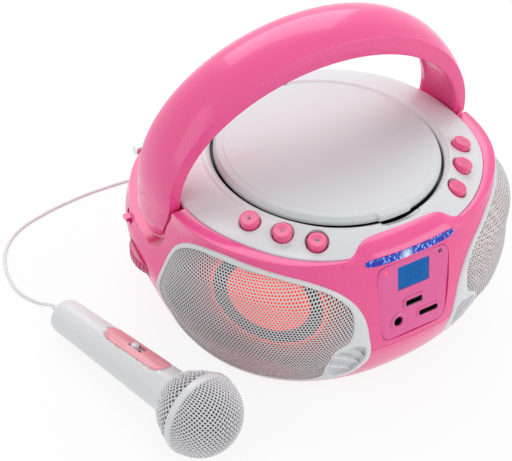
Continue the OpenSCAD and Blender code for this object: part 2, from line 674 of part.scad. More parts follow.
// Tongue below the arch: height, front and rear
tongue = [[69, 14, 21], [70.2, 9.5, 25.4], [73, 6, 28.8], [77, 3, 30.8], [82, 0.4, 31.8],
    [88, -2.6, 32], [96, -6, 32]];
arch_steps = 40;
function strap_at(t) = concat(strap,
    [for (y = hollow) [arm_in + hollow_d(t), 70 + hollow_d(t), y]], [[arm_in, 70, hollow_edge]]);
function strap_ring(t) = [for (e = strap_at(t))
    [-e[0] * cos(t), e[2], arch_base_z + (e[1] + (arch_z - 187)) * sin(t)]];
function tongue_ring(row, side) =
    let (y0 = row[1], y1 = row[2])
    [for (e = strap_at(0))
        let (share = (e[2] + 8.8) / 40.3, near = 0.6 + 0.4 * min(1, (row[0] - 66) / 16),
            x = arm_in + (e[0] - arm_in) * near)
        [side * x, y0 + (y1 - y0) * share, row[0]]];
module handle() color(pink)
    rings_solid(concat(
        [for (r = tongue) tongue_ring(r, 1)],
        [for (i = [arch_steps:-1:0]) strap_ring(180 * i / arch_steps)],
        [for (k = [len(tongue) - 1:-1:0]) tongue_ring(tongue[k], -1)]));
module handle_pins() color(deep_pink)
    for (s = [-1, 1]) translate([s * (arm_in - pin_reach), pivot_y, pivot_z]) rotate([0, s * 90, 0])
        cylinder(d = pivot_d, h = pin_reach + 1, $fn = 64);

// Antenna: foot, outer tube, middle section and knobbed tip
module antenna_foot() color(black)
    translate([antenna_foot_x, antenna_y, antenna_z]) difference() {
        translate([0, 0, -1.2]) cube([12, 7.6, 6], center = true);
        translate([-3, 0, 2]) cube([14, 4.2, 12], center = true);
        rotate([90, 0, 0]) cylinder(d = 2.2, h = 20, center = true, $fn = 32);
    }
module along_antenna() { translate([antenna_foot_x, antenna_y, antenna_z]) rotate([0, -90, 0]) children(); }
module antenna_tube() color(steel) along_antenna() difference() {
    union() {
        rod(5.4, 6.5, 130);
        intersection() {
            translate([0, 0, 0.5]) cube([5, 3.8, 14], center = true);
            rod(8, -2.5, 7);
        }
    }
    rotate([90, 0, 0]) cylinder(d = 2.2, h = 20, center = true, $fn = 32);
    rod(3.9, 12, 131);
}
module antenna_middle() color(steel) along_antenna() difference() {
    rod(3.8, 14, 132.5);
    rod(2.5, 20, 134);
}
module antenna_tip() color(steel) along_antenna() {
    rod(2.4, 24, 136);
    turned([[0, 134], [2.6, 134], [3.3, 135], [3.3, 143], [2.6, 144], [0, 144]]);
}

// Rear ports
module mic_jack() color(black) on_rear(mic_jack_x) difference() {
    union() {
        rod(9.4, -14, 0);
        rod(13, 0, 1.4);
    }
    rod(6.45, -13, 4);
}
module mains_inlet() color(black) on_rear(mains_x) {
    difference() {
        union() {
            plate(22, 12, 2, -14, 0);
            plate(25, 15, 3, 0, 1.2);
        }
        plate(17, 8.4, 4.1, -12, 4);
    }
    for (s = [-1, 1]) translate([s * 4.3, 0, 0]) rod(2.3, -13, -2);
}

// Underside and inside
battery_w = 118;
battery_l = 56;
battery_y = 42;
bay_top = 34;
door_t = 1.4;
board_z = 14;
board_posts = [[-56, -52], [56, -52], [-56, 0], [56, 0]];
foot_spots = [[-66, -58], [66, -58], [-72, 76], [72, 76]];
module battery_door() color(pink)
    translate([0, battery_y, base_z + 0.2]) {
        difference() {
            plate(battery_w, battery_l, 3, 0, door_t);
            translate([0, -battery_l / 2, 0]) cube([battery_w + 1, door_t, 8], center = true);
            for (k = [-2:2]) translate([0, battery_l / 2 - 9 + k * 1.8, 0]) cube([26, 0.9, 1.2], center = true);
        }
        // Rounded hinge edge
        translate([0, (door_t - battery_l) / 2, door_t / 2]) rotate([0, 90, 0])
            cylinder(d = door_t, h = battery_w - 6, center = true, $fn = 32);
    }
module feet() color(black)
    for (p = foot_spots) translate([p[0], p[1], 0])
        turned([[0, 0], [6.4, 0], [7, 0.6], [7, base_z], [0, base_z]]);
module case_screws() color(steel)
    for (p = [[-84, -30], [84, -30], [-92, 40], [92, 40], [0, -84], [0, 104]]) translate([p[0], p[1], 0])
        difference() {
            turned([[0, base_z - 1.2], [2.6, base_z - 1.2], [3, base_z - 0.6], [3, base_z], [0, base_z]]);
            for (a = [0, 90]) rotate([0, 0, a]) translate([0, 0, base_z - 1.2]) cube([3.4, 0.7, 1.2], center = true);
        }
module main_board() color([0.1, 0.4, 0.2]) {
    translate([0, -26, 0]) plate(124, 62, 2, board_z, board_z + 1.6);
    for (p = [[-30, -40], [4, -30], [34, -12]]) translate([p[0], p[1], board_z + 1.6])
        cube([14, 10, 3]);
}

// Microphone, lying on the floor: its own axis runs from the cord end to the head
mic_end = [-174, 31];
mic_end_r = 12;
mic_head_at = [-141, -97.4];
mic_turn = 17;
mic_run = sqrt(pow(mic_head_at[0] - mic_end[0], 2) + pow(mic_head_at[1] - mic_end[1], 2));
mic_rise = asin((mic_head_r - mic_end_r) / mic_len);
mic_dir = atan2(mic_head_at[1] - mic_end[1], mic_head_at[0] - mic_end[0]);
// Local Z runs from the cord end to the head, and local X points up and a little to the viewer
module on_mic() {
    translate([mic_head_at[0], mic_head_at[1], mic_head_r])
        rotate([0, 0, mic_dir]) rotate([0, 90 - mic_rise, 0]) rotate([0, 0, 180 - mic_turn])
            translate([0, 0, -mic_len]) children();
}
neck = mic_len - 21.5;
module mic_handle() color(white) on_mic() difference() {
    turned([[0, 0], [8.2, 0], [10.2, 0.8], [11.4, 2.4], [11.9, 5], [12.3, 30], [13.2, 70], [14.1, neck - 4],
        [14.6, neck - 1], [14.6, neck], [0, neck]]);
    plate_seat(6.9, 20);
    // Pocket for the slide switch
    translate([10.2, 0, plate_mid]) cube([6, 5.4, 12], center = true);
}
plate_from = 46;
plate_to = 100;
plate_mid = (plate_from + plate_to) / 2;
plate_w = 14;
// Stadium that the switch plate fills, cut square to the mic's axis from reach r outwards
module plate_seat(r, reach) {
    intersection() {
        translate([0, 0, plate_mid]) rotate([0, 90, 0])
            plate(plate_to - plate_from, plate_w, plate_w / 2 - 0.1, r, reach);
        difference() {
            cylinder(r = 20, h = mic_len);
            rotate_extrude($fn = 96)
                polygon([[0, 0], [11.1, 0], [11.1, plate_from - 4], [12.1, plate_to + 4], [12.1, mic_len],
                    [0, mic_len]]);
        }
    }
}
module mic_plate() color([0.95, 0.5, 0.55]) on_mic() difference() {
    intersection() {
        plate_seat(6.9, 20);
        rotate_extrude($fn = 96)
            polygon([[0, 0], [13.2, plate_from - 4], [14.4, plate_to + 4], [0, mic_len]]);
    }
    translate([13.2, 0, plate_mid]) cube([6, 5.4, 12], center = true);
}
mic_slide_travel = 5;
module mic_switch() color(white) on_mic() translate([0, 0, plate_mid - mic_slide_travel / 2]) {
    translate([10.4, 0, 0]) cube([4.6, 4.8, 5.4], center = true);
    for (k = [-1:1]) translate([13.2, 0, k * 1.6]) rotate([90, 0, 0]) cylinder(r = 0.8, h = 4.4, center = true, $fn = 24);
    translate([12.9, 0, 0]) cube([0.8, 4.4, 5], center = true);
}
module mic_mesh_front() color([0.75, 0.75, 0.75]) on_mic()
    translate([0, 0, mic_len]) rotate_extrude($fn = 96) difference() {
        circle(mic_head_r, $fn = 96);
        circle(mic_head_r - 1, $fn = 96);
        translate([-40, -40]) square([40, 80]);
        translate([-40, -60]) square([80, 62]);
    }
module mic_mesh_rear() color([0.75, 0.75, 0.75]) on_mic()
    turned([[14.6, neck], [17.5, neck + 3], [22.5, neck + 11], [25, mic_len - 2], [24, mic_len - 2],
        [21.6, neck + 11.4], [16.8, neck + 3.8], [14.6, neck + 1.2]]);
module mic_ring() color(white) on_mic()
    turned([[24, mic_len - 2], [mic_head_r, mic_len - 2], [mic_head_r + 0, mic_len + 2], [24.4, mic_len + 2]]);
module mic_foam() color([0.3, 0.3, 0.3]) on_mic()
    turned([[0, neck], [14.2, neck + 1], [20.6, neck + 11.6], [23, mic_len - 2], [23.4, mic_len + 2],
        [22, mic_len + 9], [17, mic_len + 16.6], [9, mic_len + 22], [0, mic_len + 23.6]]);
module mic_relief() color(white) on_mic()
    turned([[cord_d / 2 + 0.02, -9], [cord_d / 2 + 0.7, -9], [3.4, -0.6], [3.6, 0], [cord_d / 2 + 0.02, 0]]);

// Cord: from the microphone along the floor to the coil, and from the coil up to the plug
function length_of(v) = sqrt(v * v);
function unit(v) = v / length_of(v);
// Smooth open curve through points, k steps between each pair
function smooth_path(p, k) =
    let (n = len(p), q = concat([2 * p[0] - p[1]], p, [2 * p[n - 1] - p[n - 2]]))
    concat([for (i = [1:n - 1], s = [0:k - 1]) blend4(q[i - 1], q[i], q[i + 1], q[i + 2], s / k)], [p[n - 1]]);
// Tube along a path, with its ends square to it
module tube(path, d, sides) {
    n = len(path);
    rings_solid([for (i = [0:n - 1])
        let (t = i == 0 ? unit(path[1] - path[0]) : (i == n - 1 ? unit(path[i] - path[i - 1])
                : unit(unit(path[i + 1] - path[i]) + unit(path[i] - path[i - 1]))),
            side = unit(cross([0, 0, 1], t)), up = cross(t, side))
        [for (k = [0:sides - 1])
            path[i] + (side * cos(360 * (k + 0.5) / sides) + up * sin(360 * (k + 0.5) / sides)) * d / 2]]);
}
// Points on the microphone's axis, t from its cord end, and on the plug's axis, t out of the case
function mic_axis(t) =
    [mic_head_at[0], mic_head_at[1], mic_head_r]
    + (t - mic_len) * [cos(mic_dir) * cos(mic_rise), sin(mic_dir) * cos(mic_rise), sin(mic_rise)];
function plug_axis(t) =
    [mic_jack_x + t * sin(rear_turn(mic_jack_x)), rear_wall(mic_jack_x, port_z) + t * cos(rear_turn(mic_jack_x)), port_z];
plug_out = 27;
relief_out = 9;

// Coil: its loops lie in layers that spiral in and out in turn
coil_at = [-8, 164];
coil_loop_d = 29;
coil_turns = 12;
coil_layers = 4;
coil_pitch = 3.15;
coil_z = cord_d / 2 + 1;
coil_per_layer = coil_turns / coil_layers;
coil_out_r = (coil_loop_d + coil_per_layer * coil_pitch) / 2;
// Radius and height at u turns from the start
function coil_r(u) =
    let (w = u % (2 * coil_per_layer))
    coil_out_r - coil_pitch * (w < coil_per_layer ? w : 2 * coil_per_layer - w);
function coil_h(u) =
    let (near = round(u / coil_per_layer), gap = u - near * coil_per_layer, inner = near > 0 && near < coil_layers)
    coil_z + coil_pitch * (inner && abs(gap) < 0.25 ? near - 0.5 + 2 * gap : floor(u / coil_per_layer - 1e-6 * 0));
function coil_pt(u) =
    [coil_at[0] + coil_r(u) * cos(360 * u - 90), coil_at[1] + coil_r(u) * sin(360 * u - 90),
        coil_h(min(u, coil_turns - 0.001))];
coil_rings = 22;
coil_path = concat(
    [coil_pt(0) - [cord_d, 0, 0]],
    [for (i = [0:coil_turns * coil_rings]) coil_pt(i / coil_rings)],
    [coil_pt(coil_turns) + [cord_d, 0, 0]]);
// Least distance between the coil's centre line and itself, a quarter turn or more along it
coil_gap = min([for (i = [0:coil_turns * coil_rings - 8], j = [i + 8:coil_turns * coil_rings])
    length_of(coil_pt(i / coil_rings) - coil_pt(j / coil_rings))]) - cord_d;
echo(least_gap_of_the_coil_to_itself_mm = coil_gap);

floor_cord = cord_d / 2;
cord_route = concat([mic_axis(-relief_out), mic_axis(-relief_out - 3)],
    [[-178, 49, 5.5], [-181, 57, 1.6], [-186.4, 67, floor_cord], [-189, 77, floor_cord], [-189, 88, floor_cord],
    [-187.5, 99, floor_cord], [-184, 110, floor_cord], [-177, 121.5, floor_cord], [-163.5, 133, floor_cord],
    [-142, 141, floor_cord], [-120, 145.5, floor_cord], [-101, 147.5, floor_cord], [-70, 147.5, floor_cord],
    [-42, 145.5, floor_cord]],
    [coil_pt(0) - [cord_d + 14, 0, 0.3], coil_pt(0) - [cord_d + 4, 0, 0], coil_pt(0) - [cord_d, 0, 0]]);
end_route = concat([coil_pt(coil_turns) + [cord_d, 0, 0], coil_pt(coil_turns) + [cord_d + 4, 0, -0.2]],
    [[11, 145.5, 8.5], [21, 149, 3.5], [32, 155, 1.7], [43, 163, 1.7], [50, 171, 4], [52.5, 176, 13],
    [52, 176, 26], [49, 170, 38], [45.5, 161.5, 45.5]],
    [plug_axis(plug_out + 3), plug_axis(plug_out)]);
module mic_cord() color(white) tube(smooth_path(cord_route, 3), cord_d, 8);
module mic_cord_coil() color(white) tube(coil_path, cord_d, 6);
module mic_cord_end() color(white) tube(smooth_path(end_route, 3), cord_d, 8);
// Tie round the coil's loops, on the side away from the case
module cord_tie() color(white)
    translate([coil_at[0], coil_at[1], 0]) rotate([0, 0, 35])
        translate([coil_loop_d / 2, 0, coil_z + 1.5 * coil_pitch]) rotate([90, 0, 0]) difference() {
            plate(coil_per_layer * coil_pitch + cord_d + 1.7, coil_layers * coil_pitch + 1.2, 2.4, -2.5, 2.5);
            plate(coil_per_layer * coil_pitch + cord_d + 0.3, coil_layers * coil_pitch - 0.2, 1.7, -4, 4);
        }
module mic_plug() color(black) on_rear(mic_jack_x)
    turned([[0, -12], [1.6, -11.6], [3.15, -9.4], [3.15, 1.6], [5, 1.8], [5.2, 2.4], [5.2, 13], [4.6, 15],
        [3, 16], [2.4, 26], [1.9, plug_out], [0, plug_out]]);

lower_case();
upper_case();
top_deck();
control_panel();
display_window();
power_lamp();
remote_sensor();
usb_socket();
card_socket();
headphone_jack();
light_bar();
speaker_frame_left();
speaker_frame_right();
speaker_grille_left();
speaker_grille_right();
speaker_baffle_left();
speaker_baffle_right();
speaker_cone_left();
speaker_cone_right();
disc_well();
spindle();
spindle_motor();
pickup_sled();
sled_rails();
disc_lid();
lid_pin();
disc_clamp();
stop_button();
play_button();
folder_button();
skip_back_button();
skip_next_button();
mode_button();
volume_wheel();
source_switch();
handle();
handle_pins();
antenna_foot();
antenna_tube();
antenna_middle();
antenna_tip();
mic_jack();
mains_inlet();
battery_door();
feet();
case_screws();
main_board();
mic_handle();
mic_plate();
mic_switch();
mic_mesh_front();
mic_mesh_rear();
mic_ring();
mic_foam();
mic_relief();
mic_cord();
mic_cord_coil();
mic_cord_end();
cord_tie();
mic_plug();
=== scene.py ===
# %% [markdown]
# # A portable disc player with a microphone
# The whole object stands on one fixed frame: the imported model, in metres, with the front towards
# -Y and the floor at z = 0. Every node of it is already in place and rides on the body that
# moves it. This script dresses it: the moulded shells are drawn again with finer curves, the
# grilles get their real holes, the microphone gets its woven mesh, and every other node keeps
# its mesh and gets a finish.

# %% Load the frame
import bpy
import bmesh
import math
import numpy as np
from mathutils import Vector, Matrix


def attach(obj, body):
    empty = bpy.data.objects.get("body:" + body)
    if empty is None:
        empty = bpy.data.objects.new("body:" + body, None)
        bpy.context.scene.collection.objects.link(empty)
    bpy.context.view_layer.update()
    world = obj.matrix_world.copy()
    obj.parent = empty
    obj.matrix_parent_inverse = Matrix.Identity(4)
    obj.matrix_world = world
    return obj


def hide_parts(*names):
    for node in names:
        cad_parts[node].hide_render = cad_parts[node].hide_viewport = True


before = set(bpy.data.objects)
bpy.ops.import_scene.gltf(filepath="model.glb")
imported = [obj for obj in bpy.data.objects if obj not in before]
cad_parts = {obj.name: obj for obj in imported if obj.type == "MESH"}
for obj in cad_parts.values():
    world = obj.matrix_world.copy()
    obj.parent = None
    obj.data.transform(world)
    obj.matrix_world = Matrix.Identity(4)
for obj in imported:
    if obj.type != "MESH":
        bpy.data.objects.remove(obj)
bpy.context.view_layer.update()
bpy.ops.object.select_all(action="DESELECT")
MM = 0.001

# %% [markdown]
# ## Camera
# The photograph looks down at the player from its front left. A camera fitted to known sizes on
# the object, such as the disc lid and the microphone's head, stands about two thirds of a metre
# away, is turned 33 degrees to the left and looks down at 41 degrees. Its horizon leans a little.

# %% Camera at the photograph's place
CAMERA_AT = Vector((-338.58, -451.33, 522.95)) * MM
CAMERA_LOOKS_AT = Vector((-68.11, -35.0, 90.0)) * MM
CAMERA_ROLL = math.radians(2.95)
PHOTO_WIDTH = 512
FOCAL_PIXELS = 1077.57

bpy.ops.object.camera_add(location=CAMERA_AT)
camera = bpy.context.object
camera.name = "photo_camera"
look = (CAMERA_LOOKS_AT - CAMERA_AT).to_track_quat("-Z", "Y")
camera.rotation_euler = (look.to_matrix() @ Matrix.Rotation(CAMERA_ROLL, 3, "Z")).to_euler()
camera.data.sensor_width = 36.0
camera.data.lens = 36.0 * FOCAL_PIXELS / PHOTO_WIDTH
camera.data.clip_start, camera.data.clip_end = 0.02, 20
bpy.context.scene.camera = camera
print("camera lens", round(camera.data.lens, 2), "mm")

# %% [markdown]
# ## Light and floor
# The photograph is a studio cut-out: white all round, with broad soft lamps overhead and to the
# left, so that the tops are bright and the walls that face the viewer are deeper pink. Big area
# lamps give the same long soft highlights on glossy plastic. The floor is white by its own
# colour, and keeps a faint shadow under the player.

# %% World, lamps and floor
WHITE = (1, 1, 1, 1)
FLOOR_GREY = (0.92, 0.92, 0.92, 1)
SOFT_LIGHT = 0.62
FLOOR_SHARE = 0.88
LAMPS_AIM = (0, 0, 0.08)


def set_sockets(node, sockets):
    for key, value in sockets.items():
        node.inputs[key].default_value = value
    return node


def node_of(tree, kind, sockets=None, **values):
    node = tree.nodes.new(kind)
    for key, value in values.items():
        setattr(node, key, value)
    return set_sockets(node, sockets or {})


def link_up(tree, *pairs):
    for source, target in pairs:
        tree.links.new(source, target)


def seen_by_rays(tree):
    path = node_of(tree, "ShaderNodeLightPath")
    first = node_of(tree, "ShaderNodeMath", operation="MAXIMUM")
    both = node_of(tree, "ShaderNodeMath", operation="MAXIMUM")
    link_up(tree, (path.outputs["Is Camera Ray"], first.inputs[0]),
            (path.outputs["Is Glossy Ray"], first.inputs[1]),
            (first.outputs[0], both.inputs[0]),
            (path.outputs["Is Transmission Ray"], both.inputs[1]))
    return both.outputs[0]


def lit_or_seen(tree, out_kind, share, lit, seen):
    mix = node_of(tree, "ShaderNodeMixShader")
    out = node_of(tree, out_kind)
    link_up(tree, (share, mix.inputs["Fac"]), (lit.outputs[0], mix.inputs[1]),
            (seen.outputs[0], mix.inputs[2]), (mix.outputs[0], out.inputs["Surface"]))


def lit_world(strength):
    world = bpy.data.worlds.new("studio")
    bpy.context.scene.world = world
    world.use_nodes = True
    tree = world.node_tree
    tree.nodes.clear()
    soft = node_of(tree, "ShaderNodeBackground", {"Color": WHITE, "Strength": strength})
    seen = node_of(tree, "ShaderNodeBackground", {"Color": WHITE, "Strength": 1.0})
    lit_or_seen(tree, "ShaderNodeOutputWorld", seen_by_rays(tree), soft, seen)


def area_lamp(name, at, size, watts):
    bpy.ops.object.light_add(type="AREA", location=Vector(at))
    lamp = bpy.context.object
    lamp.name = name
    lamp.data.shape = "RECTANGLE"
    lamp.data.size, lamp.data.size_y = size
    lamp.data.energy = watts
    lamp.rotation_euler = (Vector(LAMPS_AIM) - Vector(at)).to_track_quat("-Z", "Y").to_euler()


lit_world(SOFT_LIGHT)
area_lamp("lamp_over", (0.3, 0.7, 1.1), (1.3, 1.0), 9.5)
area_lamp("lamp_left", (-1.2, -0.1, 0.75), (0.6, 1.1), 1.9)
area_lamp("lamp_front", (0.8, -1.1, 0.6), (1.0, 0.7), 5.0)

bpy.ops.mesh.primitive_plane_add(size=6, location=(0, 0, -0.0002))
floor = bpy.context.object
floor.name = "floor"
floor_paint = bpy.data.materials.new("floor_white")
floor_paint.use_nodes = True
tree = floor_paint.node_tree
tree.nodes.clear()
shown = node_of(tree, "ShaderNodeEmission", {"Strength": 1.0})
matt = node_of(tree, "ShaderNodeBsdfDiffuse", {"Color": FLOOR_GREY})
share = node_of(tree, "ShaderNodeMath", {1: FLOOR_SHARE}, operation="MULTIPLY")
tree.links.new(seen_by_rays(tree), share.inputs[0])
lit_or_seen(tree, "ShaderNodeOutputMaterial", share.outputs[0], matt, shown)
floor.data.materials.append(floor_paint)
bpy.context.scene.view_settings.view_transform = "Standard"

# %% [markdown]
# ## Plastics and metals
# The player is glossy injection-moulded plastic. Such plastic is never one flat colour: pigment
# is a little uneven, the gloss changes where it has been touched, and the skin has a fine ripple.
# One helper makes all of these finishes from noise on Object coordinates, so the pattern keeps
# its true size and stays put on a moving piece. It also rounds the look of hard edges a little,
# as every moulded edge is rounded.

# %% Finishes
def srgb(r, g, b):
    def channel(v):
        v = v / 255
        return v / 12.92 if v < 0.04045 else ((v + 0.055) / 1.055) ** 2.4
    return (channel(r), channel(g), channel(b), 1.0)


def new_paint(name):
    paint = bpy.data.materials.new(name)
    paint.use_nodes = True
    tree = paint.node_tree
    return paint, tree, tree.nodes["Principled BSDF"], node_of(tree, "ShaderNodeTexCoord").outputs["Object"]


def ramp_of(tree, stops):
    ramp = node_of(tree, "ShaderNodeValToRGB")
    elements = ramp.color_ramp.elements
    elements[0].position, elements[0].color = stops[0]
    elements[1].position, elements[1].color = stops[-1]
    for stop, colour in stops[1:-1]:
        elements.new(stop).color = colour
    return ramp


CLOUDS, SMUDGES, RIPPLE_HEIGHT = 45, 160, 0.0002


def moulded(name, colour, rough=0.3, uneven=0.04, ripple=0.05, grain=1400, edge=0.0004, **sockets):
    paint, tree, shader, place = new_paint(name)
    clouds = node_of(tree, "ShaderNodeTexNoise", {"Scale": CLOUDS, "Detail": 3})
    darker = tuple(c * (1 - uneven) for c in colour[:3]) + (1,)
    lighter = tuple(min(1, c * (1 + uneven)) for c in colour[:3]) + (1,)
    tint = node_of(tree, "ShaderNodeMix", {"A": darker, "B": lighter}, data_type="RGBA")
    smudge = node_of(tree, "ShaderNodeTexNoise", {"Scale": SMUDGES})
    gloss = node_of(tree, "ShaderNodeMapRange", {"To Min": rough * 0.97, "To Max": rough * 1.04})
    skin_grain = node_of(tree, "ShaderNodeTexNoise", {"Scale": grain})
    bump = node_of(tree, "ShaderNodeBump", {"Strength": ripple, "Distance": RIPPLE_HEIGHT})
    link_up(tree, (place, clouds.inputs["Vector"]), (clouds.outputs["Fac"], tint.inputs["Factor"]),
            (tint.outputs["Result"], shader.inputs["Base Color"]), (place, smudge.inputs["Vector"]),
            (smudge.outputs["Fac"], gloss.inputs["Value"]),
            (gloss.outputs["Result"], shader.inputs["Roughness"]), (place, skin_grain.inputs["Vector"]),
            (skin_grain.outputs["Fac"], bump.inputs["Height"]))
    if edge:
        rounded = node_of(tree, "ShaderNodeBevel", {"Radius": edge}, samples=4)
        tree.links.new(rounded.outputs[0], bump.inputs["Normal"])
    tree.links.new(bump.outputs[0], shader.inputs["Normal"])
    set_sockets(shader, {key.replace("_", " "): value for key, value in sockets.items()})
    return paint


PAINT = {
    "pink_shell": moulded("pink_shell_gloss", srgb(240, 80, 148), 0.27, 0.012, 0.015, edge=0,
                          Coat_Weight=0.4, Coat_Roughness=0.08),
    "magenta": moulded("magenta_gloss", srgb(203, 42, 108), 0.2, 0.05,
                       Coat_Weight=0.4, Coat_Roughness=0.06),
    "buttons": moulded("button_pink", srgb(236, 84, 140), 0.22, 0.03, 0.02,
                       Coat_Weight=0.4, Coat_Roughness=0.05),
    "white": moulded("white_gloss", srgb(220, 222, 224), 0.32, 0.012, 0.012, edge=0,
                     Coat_Weight=0.2, Coat_Roughness=0.1),
    "grille": moulded("grille_white", srgb(206, 208, 210), 0.45, 0.02, 0.02, edge=0),
    "lid": moulded("lid_silver", srgb(212, 218, 219), 0.46, 0.012, 0.03, 2600, edge=0),
    "black": moulded("black_plastic", srgb(30, 29, 32), 0.42, 0.15, 0.12),
    "steel": moulded("brushed_steel", srgb(190, 190, 194), 0.28, 0.08, 0.1, Metallic=1.0),
    "chrome": moulded("antenna_chrome", srgb(222, 222, 226), 0.1, 0.04, 0.02, Metallic=1.0),
    "rubber": moulded("foot_rubber", srgb(34, 33, 35), 0.75, 0.2, 0.3),
    "cord": moulded("cord_white", srgb(226, 226, 230), 0.42, 0.05, 0.12, edge=0),
    "board": moulded("board_green", srgb(30, 110, 60), 0.4, 0.2, 0.1),
    "salmon": moulded("mic_rose", srgb(236, 156, 168), 0.3, 0.03, 0.02, edge=0, Coat_Weight=0.2),
    "mesh": moulded("mesh_wire", srgb(226, 226, 229), 0.35, 0.04, 0.03, edge=0),
    "foam": moulded("mic_foam_grey", srgb(132, 132, 136), 0.95, 0.35, 0.9, 900, edge=0),
    "lens": moulded("lamp_lens", srgb(255, 90, 130), 0.12, 0.05, 0.02,
                    Emission_Color=srgb(255, 60, 110), Emission_Strength=0.6),
    "dark_lens": moulded("sensor_lens", srgb(24, 24, 70), 0.08, 0.1, 0.02, Coat_Weight=0.6),
}
print("finishes:", len(PAINT))

# %% [markdown]
# ## Tools of the bench
# All measures below are millimetres, as on the drawing, and become metres when a piece is made.
# Most of the shells are lofts: rings of points joined ring to ring, because a moulded case that
# changes its plan at every height is not any primitive. Round parts are turned with the spin
# operator, and holes are cut with a Boolean modifier that is applied at once. Two helpers draw
# smooth curves: one through a row of points, and one that eases between the rows of a table.

# %% Making, cutting and finishing pieces
def select_only(obj):
    bpy.ops.object.select_all(action="DESELECT")
    obj.select_set(True)
    bpy.context.view_layer.objects.active = obj


def shape(name, verts, faces, edges=()):
    mesh = bpy.data.meshes.new(name)
    mesh.from_pydata((np.asarray(verts, float) * MM).tolist(), list(edges), faces)
    obj = bpy.data.objects.new(name, mesh)
    bpy.context.collection.objects.link(obj)
    return obj


def face_outwards(obj, merge=0.0):
    work = bmesh.new()
    work.from_mesh(obj.data)
    if merge:
        bmesh.ops.remove_doubles(work, verts=work.verts, dist=merge * MM)
    bmesh.ops.recalc_face_normals(work, faces=work.faces)
    work.to_mesh(obj.data)
    work.free()
    return obj


def ring_faces(m, k, closed):
    last = m if closed else m - 1
    faces = [(j * k + i, j * k + (i + 1) % k, (j + 1) % m * k + (i + 1) % k, (j + 1) % m * k + i)
             for j in range(last) for i in range(k)]
    if not closed:
        faces += [tuple(range(k))[::-1], tuple(range((m - 1) * k, m * k))]
    return faces


def loft(name, rings, closed=False):
    rings = np.asarray(rings, float)
    m, k = rings.shape[:2]
    return face_outwards(shape(name, rings.reshape(-1, 3), ring_faces(m, k, closed)))


def lathe(name, outline, steps):
    count = len(outline)
    edges = [(i, (i + 1) % count) for i in range(count)]
    obj = shape(name, [(r, 0, z) for r, z in outline], [], edges)
    select_only(obj)
    bpy.ops.object.mode_set(mode="EDIT")
    bpy.ops.mesh.select_all(action="SELECT")
    bpy.ops.mesh.spin(steps=steps, angle=2 * math.pi, center=(0, 0, 0), axis=(0, 0, 1))
    bpy.ops.mesh.select_all(action="SELECT")
    bpy.ops.mesh.remove_doubles(threshold=1e-6)
    bpy.ops.mesh.normals_make_consistent(inside=False)
    bpy.ops.object.mode_set(mode="OBJECT")
    return obj


def cylinder(name, r, low, high, steps=48):
    return lathe(name, [(0, low), (r, low), (r, high), (0, high)], steps)


def block(name, low, high):
    bpy.ops.mesh.primitive_cube_add(size=1)
    obj = bpy.context.object
    obj.name = name
    low, high = np.array(low, float), np.array(high, float)
    centre, size = (low + high) / 2 * MM, (high - low) * MM
    obj.data.transform(Matrix.Translation(centre.tolist()) @ Matrix.Diagonal((*size.tolist(), 1)))
    return obj


def prism(name, outline, low, high):
    base = [(x, y, low) for x, y in outline]
    top = [(x, y, high) for x, y in outline]
    return loft(name, [base, top])


def placed(obj, matrix):
    moved = matrix.copy()
    moved.translation = moved.translation * MM
    obj.data.transform(moved)
    return obj


def join(name, objects):
    bpy.ops.object.select_all(action="DESELECT")
    for obj in objects:
        obj.select_set(True)
    bpy.context.view_layer.objects.active = objects[0]
    bpy.ops.object.join()
    objects[0].name = name
    return objects[0]


def carve(obj, tool, operation="DIFFERENCE"):
    select_only(obj)
    cut = obj.modifiers.new("cut", "BOOLEAN")
    cut.operation = operation
    cut.solver = "EXACT"
    cut.object = tool
    bpy.ops.object.modifier_apply(modifier=cut.name)
    bpy.data.objects.remove(tool)
    return obj


def rounded_off(obj, width, angle, segments):
    select_only(obj)
    bevel = obj.modifiers.new("rounding", "BEVEL")
    bevel.width = width * MM
    bevel.segments = segments
    bevel.limit_method = "ANGLE"
    bevel.angle_limit = math.radians(angle)
    bpy.ops.object.modifier_apply(modifier=bevel.name)
    return obj


def finished(obj, body, paint, nodes=(), angle=32):
    obj.data.materials.clear()
    obj.data.materials.append(PAINT[paint] if isinstance(paint, str) else paint)
    select_only(obj)
    bpy.ops.object.shade_smooth_by_angle(angle=math.radians(angle))
    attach(obj, body)
    if nodes:
        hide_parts(*nodes)
    return obj


def smoothed(points, k, closed=False):
    p = np.asarray(points, float)
    n = len(p)
    out = []
    for i in range(n if closed else n - 1):
        if closed:
            a, b, c, d = p[i - 1], p[i], p[(i + 1) % n], p[(i + 2) % n]
        else:
            b, c = p[i], p[i + 1]
            a = p[i - 1] if i else 2 * b - c
            d = p[i + 2] if i + 2 < n else 2 * c - b
        for s in range(k):
            u = s / k
            out.append(0.5 * (2 * b + (c - a) * u + (2 * a - 5 * b + 4 * c - d) * u * u
                              + (3 * b - a - 3 * c + d) * u ** 3))
    if not closed:
        out.append(p[-1])
    return np.array(out)


def turned_by(degrees, axis):
    return Matrix.Rotation(math.radians(degrees), 4, axis)


def moved_by(x, y, z):
    return Matrix.Translation((x, y, z))


def eased(v, xs, ys):
    xs, ys = np.array(xs, float), np.array(ys, float)
    v = np.clip(np.asarray(v, float), xs[0], xs[-1])
    slope = np.gradient(ys, xs, axis=0)
    i = np.clip(np.searchsorted(xs, v, side="right") - 1, 0, len(xs) - 2)
    gap = xs[i + 1] - xs[i]
    u = (v - xs[i]) / gap
    if ys.ndim > 1:
        gap, u = gap[..., None], u[..., None]
    return ((2 * u ** 3 - 3 * u ** 2 + 1) * ys[i] + (u ** 3 - 2 * u ** 2 + u) * gap * slope[i]
            + (3 * u ** 2 - 2 * u ** 3) * ys[i + 1] + (u ** 3 - u ** 2) * gap * slope[i + 1])


def smooth_step(v):
    v = np.clip(v, 0, 1)
    return v * v * (3 - 2 * v)


